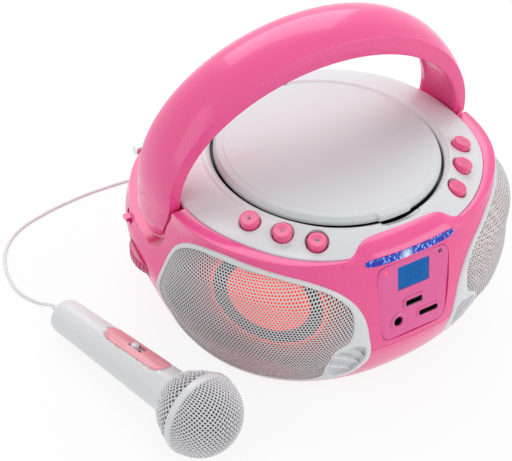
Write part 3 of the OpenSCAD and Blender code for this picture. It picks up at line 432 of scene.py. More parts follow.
SIDES = (("right", 1), ("left", -1))
print("bench ready")

# %% [markdown]
# ## The microphone's cord
# A thin, limp white cord leaves the end of the microphone, lies on the floor past the left side
# of the player, and goes behind it, where the spare length is wound into a neat coil. From the
# coil it climbs to the plug in the rear wall. It is one bevelled curve of one spline, through
# the same points as the drawing's route.

# %% Cord
CORD = 2.6
HEAD_AT = np.array([-141, -97.4, 26.0])
END_AT = np.array([-174, 31.0])
MIC_LENGTH = 132.0
MIC_RISE = math.asin((26 - 12) / MIC_LENGTH)
MIC_HEADING = math.atan2(HEAD_AT[1] - END_AT[1], HEAD_AT[0] - END_AT[0])
MIC_WAY = np.array([math.cos(MIC_HEADING) * math.cos(MIC_RISE),
                    math.sin(MIC_HEADING) * math.cos(MIC_RISE), math.sin(MIC_RISE)])
JACK_X, PORT_Z = 36.0, 48.0
COIL_AT, COIL_TURNS, COIL_LAYERS, COIL_PITCH = (-8, 164), 12, 4, 3.15
COIL_PER_LAYER = COIL_TURNS / COIL_LAYERS
COIL_OUT_R = (29 + COIL_PER_LAYER * COIL_PITCH) / 2
COIL_LOW = CORD / 2 + 1
PLAN_Y, PLAN_N = -4.0, 2.3
LEVELS = np.array([
    [3, 108, 100, 118], [12, 111.5, 105, 124], [25, 116, 109.5, 128], [37.5, 120.5, 112, 131],
    [50, 122.5, 110.8, 132], [63.5, 118.5, 108.7, 132], [75, 115.5, 106, 131], [83, 114, 103.8, 131],
    [89, 113, 101.8, 131], [95, 112.5, 99, 131], [100, 113, 97, 131], [105, 114, 96, 131]])


def rear_wall(x, z):
    width, rear = np.interp(z, LEVELS[:, 0], LEVELS[:, 1]), np.interp(z, LEVELS[:, 0], LEVELS[:, 3])
    return PLAN_Y + rear * (1 - (abs(x) / width) ** PLAN_N) ** (1 / PLAN_N)


def rear_turn(x):
    return math.degrees(math.atan((rear_wall(x - 1, PORT_Z) - rear_wall(x + 1, PORT_Z)) / 2))


def mic_axis(t):
    return HEAD_AT + (t - MIC_LENGTH) * MIC_WAY


def plug_axis(t):
    turn = math.radians(rear_turn(JACK_X))
    return np.array([JACK_X + t * math.sin(turn), rear_wall(JACK_X, PORT_Z) + t * math.cos(turn), PORT_Z])


def coil_point(u):
    w = u % (2 * COIL_PER_LAYER)
    radius = COIL_OUT_R - COIL_PITCH * (w if w < COIL_PER_LAYER else 2 * COIL_PER_LAYER - w)
    v = min(u, COIL_TURNS - 0.001)
    near = round(v / COIL_PER_LAYER)
    gap = v - near * COIL_PER_LAYER
    climbing = 0 < near < COIL_LAYERS and abs(gap) < 0.25
    layer = near - 0.5 + 2 * gap if climbing else math.floor(v / COIL_PER_LAYER)
    angle = math.radians(360 * u - 90)
    return np.array([COIL_AT[0] + radius * math.cos(angle), COIL_AT[1] + radius * math.sin(angle),
                     COIL_LOW + COIL_PITCH * layer])


low = CORD / 2
to_coil = [mic_axis(-9), mic_axis(-12), (-178, 49, 5.5), (-181, 57, 1.6), (-186.4, 67, low),
           (-189, 77, low), (-189, 88, low), (-187.5, 99, low), (-184, 110, low), (-177, 121.5, low),
           (-163.5, 133, low),
           (-142, 141, low), (-120, 145.5, low), (-101, 147.5, low), (-70, 147.5, low), (-42, 145.5, low),
           coil_point(0) - (CORD + 14, 0, 0.3), coil_point(0) - (CORD + 4, 0, 0)]
wound = [coil_point(i / 16) for i in range(COIL_TURNS * 16 + 1)]
to_plug = [coil_point(COIL_TURNS) + (CORD + 4, 0, -0.2), (11, 145.5, 8.5), (21, 149, 3.5), (32, 155, 1.7),
           (43, 163, 1.7), (50, 171, 4), (52.5, 176, 13), (52, 176, 26), (49, 170, 38), (45.5, 161.5, 45.5),
           plug_axis(30), plug_axis(27)]
route = [np.array(p, float) for p in to_coil + wound + to_plug]
strand = bpy.data.curves.new("microphone_cord", "CURVE")
strand.dimensions = "3D"
strand.bevel_depth = CORD / 2 * MM
strand.bevel_resolution = 3
strand.resolution_u = 5
strand.use_fill_caps = True
spline = strand.splines.new("BEZIER")
spline.bezier_points.add(len(route) - 1)
for knot, at in zip(spline.bezier_points, route):
    knot.co = (at * MM).tolist()
    knot.handle_left_type = knot.handle_right_type = "AUTO"
cord = bpy.data.objects.new("microphone_cord", strand)
bpy.context.collection.objects.link(cord)
CORD_LENGTH = sum(np.linalg.norm(b - a) for a, b in zip(route, route[1:])) * MM
cord.data.materials.append(PAINT["cord"])
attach(cord, "case")
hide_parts("mic_cord", "mic_cord_coil", "mic_cord_end")
print("cord", round(CORD_LENGTH, 3), "m along", len(route), "points")

# %% [markdown]
# ## The case
# The lower and the upper case meet at a seam low on the side, where both edges turn in to make
# a fine groove. Each is lofted through rings that follow the drawing's heights, widths and
# reaches, with smooth curves between them. The plan is a blunt oval, wider than an ellipse.

# %% The case's own surface
STEPS = 240
TURN = np.arange(STEPS) * 2 * math.pi / STEPS
WALL = 2.5


def level(z):
    return eased(z, LEVELS[:, 0], LEVELS[:, 1:])


def oval(t, a, f, b, n=PLAN_N):
    c, s = np.cos(t), np.sin(t)
    r = (np.abs(c) ** n + np.abs(s) ** n) ** (-1 / n)
    return a * r * c, PLAN_Y + np.where(s < 0, f, b) * r * s


def skin(t, z, d=0.0):
    t, z, d = np.broadcast_arrays(np.asarray(t, float), np.asarray(z, float), np.asarray(d, float))
    size = level(z)
    x, y = oval(t, size[..., 0], size[..., 1], size[..., 2])
    return np.stack([x + d * np.cos(t), y + d * np.sin(t), z], axis=-1)


def shoulder_drop(y):
    return 4.4 * smooth_step((-y - 50) / 45)


def shoulder(t, z, d):
    p = skin(t, z, d)
    p[..., 2] -= shoulder_drop(p[..., 1]) * smooth_step((np.asarray(z) - 96) / 9)
    return p


DECK_A, DECK_F, DECK_B, DECK_N = 104.5, 94.5, 92.0, 2.2


def deck_edge(t, z, d):
    x, y = oval(t, DECK_A - d, DECK_F - d, DECK_B - d, DECK_N)
    return np.stack([x, y, z - shoulder_drop(y)], axis=-1)


def window_cutter(name, side, loop, mid, grow, low, high):
    rings = []
    for share, d in ((0.05, low), (grow, low), (grow, high), (0.05, high)):
        way = np.asarray(loop) * share + np.asarray(mid) * (1 - share)
        rings.append(skin(np.radians(way[:, 0]), way[:, 1], d) * (side, 1, 1))
    return loft(name, rings)


FRAME_OUTER = smoothed([
    (-3.6, 14), (-2.4, 36), (-2.5, 58), (-5.0, 76.5), (-9.9, 88.4), (-18, 96.2), (-28, 100), (-36, 99.2),
    (-46, 96.2), (-56, 91.8), (-64.5, 84), (-70.5, 72), (-74, 56), (-75.3, 36), (-74.3, 23), (-69, 9.5),
    (-57, 6), (-38, 5.5), (-18, 6), (-7, 8)], 11, closed=True)
FRAME_INNER = smoothed([
    (-6.4, 15), (-4.6, 36), (-4.4, 58), (-6.8, 76.5), (-11.6, 86.9), (-19.4, 93.8), (-28.2, 95.6),
    (-35.5, 95.3), (-45, 94), (-54.5, 90.2), (-62, 84), (-67.8, 72.8), (-69.4, 59), (-68.6, 49.5),
    (-64.3, 43), (-61.8, 30), (-58.5, 12), (-38, 9), (-20, 9.5), (-10, 11)], 11, closed=True)
POD_MID = np.array([-36.0, 50.0])
LOUVRE = smoothed([
    (-69.2, 43.8), (-70.6, 44.7), (-72, 44.3), (-73.2, 42.2), (-73.6, 38.9), (-73.5, 33.8), (-72.7, 27.6),
    (-71.1, 21.3), (-68.9, 16.5), (-66.4, 14.8), (-64, 14.4), (-62.9, 17.7), (-62.4, 25), (-62.6, 30.6),
    (-63.4, 36.3), (-64.9, 40.3), (-66.6, 42.7), (-68.2, 43.8)], 4, closed=True)
LOUVRE_MID = np.array([-68.5, 30.0])


def cut_windows(shell):
    for side in (1, -1):
        carve(shell, window_cutter("window", side, FRAME_INNER, POD_MID, 1.01, -8, 7))
        carve(shell, window_cutter("louvre_hole", side, LOUVRE, LOUVRE_MID, 1.08, -5, 6))



SEAM = 37.42
outer = [(3.0, -1.1), (3.15, -0.5), (3.5, -0.12), (4.2, 0)] + [(z, 0) for z in np.linspace(6, 36.9, 12)]
outer += [(SEAM - 0.32, 0), (SEAM - 0.1, -0.3), (SEAM, -0.9), (SEAM, -WALL)]
inner = [(z, -WALL) for z in (30, 22, 14, 8, 5.5)]
lower = loft("lower_case_shell", [skin(TURN, z, d) for z, d in outer + inner])
cut_windows(lower)
DOOR_Y, DOOR_HALF_X, DOOR_HALF_Y, DOOR_TOP = 42, 59.3, 28.3, 4.7
carve(lower, block("door_seat", (-DOOR_HALF_X, DOOR_Y - DOOR_HALF_Y, 0),
                   (DOOR_HALF_X, DOOR_Y + DOOR_HALF_Y, DOOR_TOP)))
finished(lower, "case", "pink_shell", ["lower_case"])
print("lower case:", len(lower.data.polygons), "faces")

# %% [markdown]
# The upper case rises to a shoulder with a rounded edge, and a flat strip runs round the deck.
# Behind the middle, a way is cut down to a ledge, where the folded handle comes to lie.

# %% Upper case
outer = [(37.52, -0.9), (37.62, -0.3), (37.85, 0)] + [(z, 0) for z in np.linspace(39, 96, 20)]
outer += [(98, 0), (100, 0), (102, 0), (103.6, 0), (104.4, -0.15), (104.82, -0.5), (105, -1.2)]
rings = [shoulder(TURN, z, d) for z, d in outer]
rings += [deck_edge(TURN, 105.02, -1.2), deck_edge(TURN, 104.9, -0.3), deck_edge(TURN, 104.5, 0)]
rings += [deck_edge(TURN, 103, 0), deck_edge(TURN, 103, 4), deck_edge(TURN, 100.5, 4)]
rings += [skin(TURN, z, -WALL) for z in (95, 83, 70, 60, 50, 42, 37.52)]
upper = loft("upper_case_shell", rings, closed=True)
ledge = loft("ledge", [skin(TURN, z, -0.6) for z in (49, 55, 61, 68, 75, 82, 89, 95, 100)]
             + [deck_edge(TURN, 104.6, -2)])


LEDGE_Z, WAY_TOP = 63.5, 125


def handle_way(grow):
    slope = smoothed([(-12, 105), (-3.6, 88), (-3.2, 78), (0.2, 71.5), (5, 66.5), (11, 64.1),
                      (17, LEDGE_Z)], 6)
    side = [(-12 - grow, WAY_TOP)] + [(y - grow, z - grow) for y, z in slope]
    side += [(150, LEDGE_Z - grow), (150, WAY_TOP)]
    return loft("handle_way", [[(x, y, z) for y, z in side] for x in (-140, 140)])


def core(grow):
    x, y = oval(TURN, 104 - grow, DECK_F - grow, 91.5 - grow, DECK_N)
    return prism("core", np.stack([x, y], axis=-1), 50, 134)


carve(ledge, handle_way(WALL), "INTERSECT")
carve(ledge, core(WALL))
carve(upper, ledge, "UNION")
carve(upper, carve(handle_way(0), core(0)))
cut_windows(upper)
print("upper case:", len(upper.data.polygons), "faces")

# %% [markdown]
# The upper case is then opened for what sits in it: the leaning control panel, the volume
# wheel's slot, the source switch, the rear sockets, the handle's pins and the antenna's groove.
# All these tools are closed shapes that don't touch, so they are joined and cut in one go.

# %% Openings of the upper case
def on_panel():
    return moved_by(0, -104.4, 89.4) @ turned_by(-12.7, "X") @ turned_by(90, "X")


def on_rear(x):
    return moved_by(x, rear_wall(x, PORT_Z), PORT_Z) @ turned_by(-rear_turn(x), "Z") @ turned_by(-90, "X")


panel_right = smoothed([(20.5, 4.6), (23.4, 3.9), (25.5, 2.1), (26.6, -0.5), (26.9, -3.6), (26.5, -18),
                        (25.3, -36), (24.3, -42.9), (22.8, -46.4), (20.4, -48.3), (17.5, -49)], 5)
PANEL = [tuple(p) for p in panel_right] + [(-x, y) for x, y in panel_right[::-1]]
PIN_X, PIN_Y, PIN_Z = 101, 15, 86
tools = [placed(prism("panel_hole", PANEL, -9, 12), on_panel())]
tools.append(placed(cylinder("wheel_slot", 28.8, 41.2, 49.8, 96), moved_by(-97.5, 20, 0)))
tools.append(block("switch_slot", (-126, 41.5, 55.3), (-106, 56.5, 58.7)))
tools.append(placed(cylinder("jack_hole", 4.7, -12, 12), on_rear(JACK_X)))
tools.append(placed(block("mains_hole", (-11, -6, -12), (11, 6, 12)), on_rear(0)))
for side in (1, -1):
    pin_bore = cylinder("pin_bore", 5.3, -7, 7)
    tools.append(placed(pin_bore, moved_by(side * PIN_X, PIN_Y, PIN_Z) @ turned_by(90, "Y")))
tools.append(block("antenna_groove", (-150, 101.6, 57.8), (70, 110.4, 77.8)))
carve(upper, join("case_openings", tools))

# %% [markdown]
# Over the light bar stands a hood: the shoulder strip widens there, rises to the deck's height
# and rolls down to a lip. It is lofted from sections side by side, and each section follows the
# measured curve from the deck's edge to the lip. Its plan steps forward in a soft S at each end.

# %% Hood over the light bar
def skin_front(x, z):
    size = level(z)
    return PLAN_Y - size[..., 1] * (1 - (np.abs(x) / size[..., 0]) ** PLAN_N) ** (1 / PLAN_N)


BAR_HALF, BAR_Z, BAR_RISE, BAR_FALL = 33.0, 97.9, 1.85, 1.45
HOOD_LOW = 97.4
HOOD_X = [0, 8, 17, 23, 26.6, 30.4, 33.4, 36.2, 38.7, 41.6, 45.5]
HOOD_Y = [-88.0, -88.0, -88.0, -88.1, -88.4, -89.2, -90.4, -91.6, -92.2, -92.7, -93.9]
HOOD_TOP = [107.5, 107.5, 107.4, 107.2, 106.8, 105.5, 103.8, 102.3, 101.4, 100.9, 99.9]


def bar_rise(x):
    return BAR_RISE * max(0, 1 - abs(x / BAR_HALF) ** 14) ** 0.5


LIP_GAP, LIP_THICK = 0.12, 3.5
sections = []
for x in np.linspace(-HOOD_X[-1], HOOD_X[-1], 92):
    back, top = float(eased(abs(x), HOOD_X, HOOD_Y)), float(eased(abs(x), HOOD_X, HOOD_TOP))
    lip_z = BAR_Z + bar_rise(x) + LIP_GAP
    lip_y = float(skin_front(np.array(x), np.array(lip_z))) - 0.3 * smooth_step((44 - abs(x)) / 8)
    section = [(x, back, HOOD_LOW), (x, back, top - 0.5), (x, back - 0.15, top - 0.15)]
    for a in np.linspace(4, 90, 18):
        a = math.radians(a)
        section.append((x, back - 0.4 + (lip_y - back + 0.4) * math.sin(a),
                        lip_z + 0.35 + (top - lip_z - 0.35) * math.cos(a) ** 1.6))
    section += [(x, lip_y + 0.12, lip_z + 0.1), (x, lip_y + 0.5, lip_z)]
    section += [(x, lip_y + LIP_THICK, lip_z), (x, lip_y + LIP_THICK, HOOD_LOW)]
    sections.append(section)
hood = loft("hood", sections)
upper = join("upper_case_shell", [upper, hood])
finished(upper, "case", "pink_shell", ["upper_case"], angle=28)
print("hood sections:", len(sections))

# %% [markdown]
# The light bar is a long clear lens under the hood. Rows of small blue lamps shine through it,
# with white sparks where each lamp is near and one bright spot left of the middle. The sparks
# are a Voronoi pattern whose cells are stretched upwards, coloured from deep blue to white.

# %% Light bar
GLOW_STOPS = [(0.0, srgb(235, 244, 255)), (0.24, srgb(150, 182, 250)), (0.42, srgb(24, 66, 186)),
              (1.0, srgb(12, 40, 140))]
SPARKS, SPARK_STRETCH, SPOT_AT = 620, (1, 1, 0.5), (-5, -103.4, 97)


def glow(name, strength):
    paint, tree, shader, place = new_paint(name)
    size = node_of(tree, "ShaderNodeMapping", {"Scale": SPARK_STRETCH})
    cells = node_of(tree, "ShaderNodeTexVoronoi", {"Scale": SPARKS})
    ramp = ramp_of(tree, GLOW_STOPS)
    centre = node_of(tree, "ShaderNodeMapping", {"Location": [-v * MM for v in SPOT_AT]})
    reach = node_of(tree, "ShaderNodeVectorMath", operation="LENGTH")
    spot = node_of(tree, "ShaderNodeMapRange",
                   {"From Min": 0.0008, "From Max": 0.0052, "To Min": 0.95, "To Max": 0.0})
    lit = node_of(tree, "ShaderNodeMix", {"B": srgb(226, 242, 255)}, data_type="RGBA")
    link_up(tree, (place, size.inputs["Vector"]), (size.outputs["Vector"], cells.inputs["Vector"]),
            (cells.outputs["Distance"], ramp.inputs["Fac"]), (place, centre.inputs["Vector"]),
            (centre.outputs["Vector"], reach.inputs[0]), (reach.outputs["Value"], spot.inputs["Value"]),
            (spot.outputs["Result"], lit.inputs["Factor"]), (ramp.outputs["Color"], lit.inputs["A"]),
            (lit.outputs["Result"], shader.inputs["Emission Color"]))
    set_sockets(shader, {"Base Color": srgb(20, 24, 70), "Emission Strength": strength,
                         "Roughness": 0.2, "Specular IOR Level": 0.25})
    return paint


PAINT["bar_glow"] = glow("bar_glow_blue", 0.9)
bar_rings = []
for x in BAR_HALF * np.sin(np.linspace(-math.pi / 2, math.pi / 2, 81)):
    rise, fall = max(0.05, bar_rise(x)), max(0.05, bar_rise(x) * BAR_FALL)
    ring = []
    for a in np.linspace(-math.pi, math.pi, 25)[:-1]:
        z = BAR_Z + (rise if a > 0 else fall) * math.sin(a)
        out = (0.85 if abs(a) < 1.58 else 2.6) * math.cos(a)
        ring.append((x, float(skin_front(np.array(x), np.array(z))) - out, z))
    bar_rings.append(ring)
bar = loft("light_bar_lens", bar_rings)
finished(bar, "case", "bar_glow", ["light_bar"], 60)
print("light bar", [round(v, 4) for v in bar.dimensions])

# %% [markdown]
# ## Deck
# The white deck rises from the shoulder strip to a ring round the disc lid. It is one closed
# loft round the lid: outer edge, slope, ring, and back underneath. Six moats are cut into the
# slope, each square to its button, with a bore for the button in its floor. The ring runs out
# towards the hood in front.

# %% Deck
LID_Y = -8.5
RING_R, RING_BASE, RING_DROP, FRONT, FRONT_REACH = 76, 108, 2.2, 270, 60
BUTTONS = [((79.82, -45.84, 110.44), 16), ((67.52, -62.61, 108.71), 15), ((52.14, -76.35, 105.23), 14)]


def on_button(i, side):
    (x, y, z), tilt = BUTTONS[i]
    return (moved_by(side * x, y, z) @ turned_by(math.degrees(math.atan2(y - LID_Y, side * x)), "Z")
            @ turned_by(tilt, "Y"))


def lid_ring(t, r, z):
    share = smooth_step(1 - np.abs(np.degrees(t) - FRONT) / FRONT_REACH)
    r = r - max(0, r - RING_R) * 0.95 * share
    drop = RING_DROP if z > RING_BASE else 0
    return np.stack([r * np.cos(t), LID_Y + r * np.sin(t), z - drop * share], axis=-1)


edge, foot = deck_edge(TURN, 105.85, 0.9), lid_ring(TURN, 80.6, 111.5)
rings = [deck_edge(TURN, 103, 0.25), deck_edge(TURN, 105.2, 0.25), deck_edge(TURN, 105.6, 0.45)]
from_front = np.abs(np.degrees(TURN) % 360 - FRONT)
dip = smooth_step((from_front - 28) / 9) * smooth_step((FRONT_REACH - from_front) / 18)
for u in np.linspace(0, 1, 15):
    ring = edge + (foot - edge) * u
    climb = (1 - (1 - u) ** 1.2) * (1 - dip) + u ** 1.6 * dip
    ring[:, 2] = edge[:, 2] + (foot[:, 2] - edge[:, 2]) * climb
    rings.append(ring)
for r, z in ((79.9, 111.95), (79.2, 112.1), (78.3, 111.85), (77, 111.1), (76, 110.55), (75.5, 110.2),
             (75.1, 109.6), (75, 108.8), (75, 104), (77.5, 104), (77.8, 108.4)):
    rings.append(lid_ring(TURN, r, z))
rings += [deck_edge(TURN, 104, 3.6), deck_edge(TURN, 103, 3.6)]
deck = loft("deck", rings, closed=True)
cups = [placed(cylinder("cup", 9, -3.3, -1.9, 64), on_button(i, side))
        for side in (1, -1) for i in range(3)]
carve(deck, join("cups", cups), "UNION")
moats = []
for side in (1, -1):
    for i in range(3):
        moat = lathe("moat", [(0, -12), (6.35, -12), (6.35, -1.5), (6.6, -1.3), (7, -0.6), (7.3, 0.6),
                              (7.3, 14), (0, 14)], 64)
        moats.append(placed(moat, on_button(i, side)))
moats.append(block("hinge_slot", (-17, 63, 103), (17, 75, 123)))
scoop = lathe("scoop", [(0, -14.5), (2.2, -14.5), (3.6, -11), (4.1, -4), (4.1, 4), (3.6, 11),
                        (2.2, 14.5), (0, 14.5)], 32)
moats.append(placed(scoop, moved_by(2.5, LID_Y - 75, 110.6) @ turned_by(90, "Y")))
carve(deck, join("moats", moats))
finished(deck, "case", "white", ["top_deck"], angle=30)
print("deck:", len(deck.data.polygons), "faces")

# %% [markdown]
# ## Disc lid
# The lid is a shallow dome with a bevelled rim that hangs down into the ring. It is turned from
# its section with the spin operator. A finger tab stands out of the rim at the front, with a
# scoop in the deck before it, and two lugs at the back hold the hinge pin.

# %% Lid
LID_TOP = 115.0
LID_SECTION = [(0, 1.1), (15, 1.05), (30, 0.9), (52, 0.45), (64, 0.08), (66.6, 0), (67, -0.25),
               (70.2, -0.5), (71.2, -0.8), (71.9, -1.5), (72.7, -3.4), (73, -4), (73, -6.1),
               (72.7, -6.4), (71, -6.4), (70.6, -3.4), (66, -2.2), (52, -1.8), (30, -1.4), (0, -1.2)]
lid = lathe("lid", [(r, LID_TOP + z) for r, z in LID_SECTION], 240)
placed(lid, moved_by(0, LID_Y, 0))
TAB_SECTION = ((0, 114.3), (0.9, 114.2), (2.1, 113.7), (2.9, 112.8), (3.1, 111.4), (3.0, 109.6),
               (2.4, 108.8), (0, 108.8))
tab = []
for a in np.radians(np.linspace(-101.2, -81.5, 26)):
    out = 1.0 * smooth_step((math.degrees(a) + 101.4) / 3)
    tab.append([((71.5 + out * r) * math.cos(a), LID_Y + (71.5 + out * r) * math.sin(a), z)
                for r, z in TAB_SECTION])
stem, stem_head = cylinder("stem", 1.9, 107.6, 114, 32), cylinder("stem_head", 4, 107.2, 108.4, 32)
parts = [lid, loft("tab", tab)] + [placed(p, moved_by(0, LID_Y, 0)) for p in (stem, stem_head)]
for x in (-10, 10):
    arm = [(y, z) for y, z in ((60.5, 112.6), (66, 111.8), (71.5, 110.4), (73.3, 108.6), (73.3, 106.4),
                               (71.5, 104.7), (69, 104.8), (67.6, 106.8), (65, 109), (60.5, 109.6))]
    parts.append(loft("lug", [[(x + s, y, z) for y, z in arm] for s in (-2.5, 2.5)]))
lid = join("disc_lid_shell", parts)
finished(lid, "lid", "lid", ["disc_lid"], angle=24)
print("lid:", len(lid.data.polygons), "faces")

# %% [markdown]
# ## Buttons
# Six round buttons, three on each side. Each starts as a cylinder, gets its rounded rim from a
# bevel and a faintly hollow top from an inset that is pressed down. One function makes all six.
# A small grey mark on each stands for its job: plain squares, triangles and bars, as on any
# player.

# %% Buttons and their marks
BUTTON_R, BUTTON_TALL, BUTTON_MID = 5.9, 9.6, -1.4
MARK_Z, MARK_DEEP, MARK_TURN = 3.22, 0.5, 25


def push_button():
    bpy.ops.mesh.primitive_cylinder_add(vertices=64, radius=BUTTON_R * MM, depth=BUTTON_TALL * MM,
                                        location=(0, 0, BUTTON_MID * MM))
    obj = bpy.context.object
    bpy.ops.object.transform_apply(location=True)
    select_only(obj)
    bpy.ops.object.mode_set(mode="EDIT")
    bpy.ops.mesh.select_mode(type="FACE")
    bpy.ops.mesh.select_all(action="DESELECT")
    bpy.ops.object.mode_set(mode="OBJECT")
    for face in obj.data.polygons:
        face.select = face.normal.z > 0.9
    bpy.ops.object.mode_set(mode="EDIT")
    for wide, deep in ((1.7, 0), (2.2, 0.16), (1.5, 0.06)):
        bpy.ops.mesh.inset(thickness=wide * MM, depth=-deep * MM)
    bpy.ops.object.mode_set(mode="OBJECT")
    return rounded_off(obj, 1.0, 50, 4)


def mark(name, outlines):
    verts, faces = [], []
    for outline in outlines:
        base = len(verts)
        n = len(outline)
        verts += [(x, y, MARK_Z) for x, y in outline] + [(x, y, MARK_Z - MARK_DEEP) for x, y in outline]
        faces += [tuple(range(base, base + n)), tuple(range(base + n, base + 2 * n))[::-1]]
        faces += [(base + i, base + n + i, base + n + (i + 1) % n, base + (i + 1) % n) for i in range(n)]
    return face_outwards(shape(name, verts, faces))


def box_mark(x, y, w, h):
    return [(x - w / 2, y - h / 2), (x + w / 2, y - h / 2), (x + w / 2, y + h / 2), (x - w / 2, y + h / 2)]


def arrow_mark(x, y, s, way=1):
    back, tip = x - way * s * 0.5, x + way * s * 0.5
    return [(back, y - s * 0.6), (tip, y), (back, y + s * 0.6)][::way]


MARKS = {
    "stop": [box_mark(0, 0, 1.9, 1.9)],
    "mode": [box_mark(0, 0.9, 3.4, 0.55), box_mark(0, -0.5, 3.4, 0.55)],
    "folder": [box_mark(0, -0.2, 3.6, 1.3), box_mark(-1.1, 0.75, 1.4, 0.6)],
    "play": [arrow_mark(-0.9, 0, 1.9), box_mark(0.9, 0, 0.5, 2.0), box_mark(1.9, 0, 0.5, 2.0)],
    "skip_back": [arrow_mark(0.9, 0, 1.6, -1), arrow_mark(-0.7, 0, 1.6, -1), box_mark(-1.9, 0, 0.45, 1.9)],
    "skip_next": [arrow_mark(-0.9, 0, 1.6), arrow_mark(0.7, 0, 1.6), box_mark(1.9, 0, 0.45, 1.9)]}
PAINT["print_grey"] = moulded("print_grey", srgb(126, 112, 122), 0.5, 0.1, edge=0)
button_places = [(i, side) for side in (-1, 1) for i in range(3)]
for (name, outlines), (i, side) in zip(MARKS.items(), button_places):
    button = placed(push_button(), on_button(i, side))
    button.name = name + "_key_cap"
    finished(button, name + "_key", "buttons", [name + "_button"], 40)
    x, y, z = BUTTONS[i][0]
    turn = turned_by(-math.degrees(math.atan2(y - LID_Y, side * x)) - MARK_TURN, "Z")
    sign = placed(mark(name + "_mark", outlines), on_button(i, side) @ turn)
    finished(sign, name + "_key", "print_grey")
print("buttons:", len(MARKS))

# %% [markdown]
# ## Speaker pods
# Each speaker looks out through a wide window round the front corner. A glossy white frame
# follows the window's edge and holds a bulged grille of perforated sheet. In the lower front
# corner, three slanting blades lie in a shallow pocket. Lip and bulge are the drawing's, and the
# outline is the drawing's with finer and rounder curves.

# %% Speaker frames
def pod_lip(z):
    return np.interp(z, [5, 45, 101], [0.6, 1, 1.4])


def pod_bulge(z):
    return eased(z, [5, 15, 25, 35, 45, 55, 65, 75, 85, 92, 97, 101, 105],
                 [0.8, 1.2, 2.2, 3.4, 4.4, 5.7, 7.2, 9, 11.5, 12.3, 10, 5, 3])


def frame_ring(share, k, drop):
    way = FRAME_OUTER * (1 - share) + FRAME_INNER * share
    return skin(np.radians(way[:, 0]), way[:, 1], pod_lip(way[:, 1]) * k - drop)


def louvre_ring(share, d):
    way = LOUVRE * share + LOUVRE_MID * (1 - share)
    return skin(np.radians(way[:, 0]), way[:, 1], d)


SLATS = [
    [(-66.6, 43.9, 0.9, 1), (-69.6, 41.6, 1, 0.9), (-71.6, 38.2, 0.9, 0.7), (-73.3, 33.2, 0.4, 0.2)],
    [(-63.2, 39.4, 1.2, 1), (-67, 36, 1.2, 0.9), (-69.8, 31.6, 1, 0.7), (-72.3, 25.4, 0.4, 0.2)],
    [(-61.9, 29.7, 1.8, 1), (-65.4, 26.9, 1.5, 0.9), (-67.6, 24.2, 1.2, 0.7), (-69.5, 20.3, 0.4, 0.2)]]
SLAT_SIDE = [(-1, -2.5), (-0.9, -0.9), (-0.7, 0.3), (-0.45, 0.8), (-0.1, 1), (0.25, 0.97), (0.55, 0.7),
             (0.82, 0), (1, -1.2), (1.1, -2.5)]
SLAT_WIDTH, SLAT_RISE = 0.86, 1.15
POCKET = [(0.05, -6), (0.96, -6), (0.97, -0.4), (0.99, 0.2), (1.02, 0.7), (1.05, 1.1), (1.06, 6), (0.05, 6)]
TRAY = [(0.03, -2.3), (0.84, -2.3), (0.93, -1.9), (0.97, -1), (0.99, -0.2), (1.02, -0.2), (1.02, -2.7),
        (0.03, -2.7)]
FRAME_SECTION = [
    (0, 0, 1.5), (0, 0, 0.1), (0.015, 0.3, 0), (0.05, 0.62, 0), (0.11, 0.88, 0), (0.22, 1.12, 0),
    (0.38, 1.3, 0), (0.55, 1.38, 0), (0.72, 1.32, 0), (0.86, 1.16, 0), (0.95, 1.0, 0), (0.99, 0.84, 0),
    (1, 0.6, 0), (1, 0, 2.4), (0.7, 0, 2.4)]


def louvre_blade(spots):
    rings = []
    for t, z, half, rise in smoothed(spots, 6):
        rings.append(skin(math.radians(t), [z + w * half * SLAT_WIDTH for w, up in SLAT_SIDE],
                          [SLAT_RISE * rise * up if up > 0 else up for w, up in SLAT_SIDE]))
    return loft("blade", rings)


def speaker_frame(name, side):
    frame_shell = loft(name, [frame_ring(*p) for p in FRAME_SECTION], closed=True)
    carve(frame_shell, loft("pocket", [louvre_ring(share, d) for share, d in POCKET]))
    blades = [loft("tray", [louvre_ring(share, d) for share, d in TRAY])]
    blades += [louvre_blade(spots) for spots in SLATS]
    frame_shell = join(name, [frame_shell] + blades)
    frame_shell.data.transform(Matrix.Diagonal((side, 1, 1, 1)))
    return face_outwards(frame_shell)


for name, side in SIDES:
    edge_piece = speaker_frame("speaker_edge_" + name, side)
    finished(edge_piece, "case", "white", ["speaker_frame_" + name], 35)
print("speaker frames:", len(edge_piece.data.polygons), "faces each")

# %% [markdown]
# The grille is a sheet with real round holes in a staggered pattern, about two millimetres apart. A
# small cell, a hexagon with a hole of twelve sides, is laid out over the window, and each of its
# points is then dropped onto the bulged surface, front and back. Neighbouring cells share their
# edge points, so the sheet is one piece. It ends hidden under the frame's lip.

# %% Speaker grilles
PITCH, HOLE, SHEET, SHEET_SINK = 2.1, 1.5, 0.22, 0.8
TURN_WEIGHT, HIDDEN_EDGE, ROWS, COLUMNS = 1.5, 0.035, 80, 95
arc_t = np.radians(np.linspace(-80, 4, 400))
arc_path = skin(arc_t, 50.0, 4.0)
arc_length = np.concatenate([[0], np.cumsum(np.linalg.norm(np.diff(arc_path[:, :2], axis=0), axis=1))])
loop_way = FRAME_INNER - POD_MID
loop_turn = np.arctan2(loop_way[:, 1], loop_way[:, 0] * TURN_WEIGHT)
loop_order = np.argsort(loop_turn)
loop_turn = loop_turn[loop_order]
loop_reach = np.hypot(loop_way[:, 0] * TURN_WEIGHT, loop_way[:, 1])[loop_order]


def window_share(t_deg, z):
    x, y = (t_deg - POD_MID[0]) * TURN_WEIGHT, z - POD_MID[1]
    reach = np.interp(np.arctan2(y, x), loop_turn, loop_reach, period=2 * math.pi)
    return 1 - np.hypot(x, y) / reach


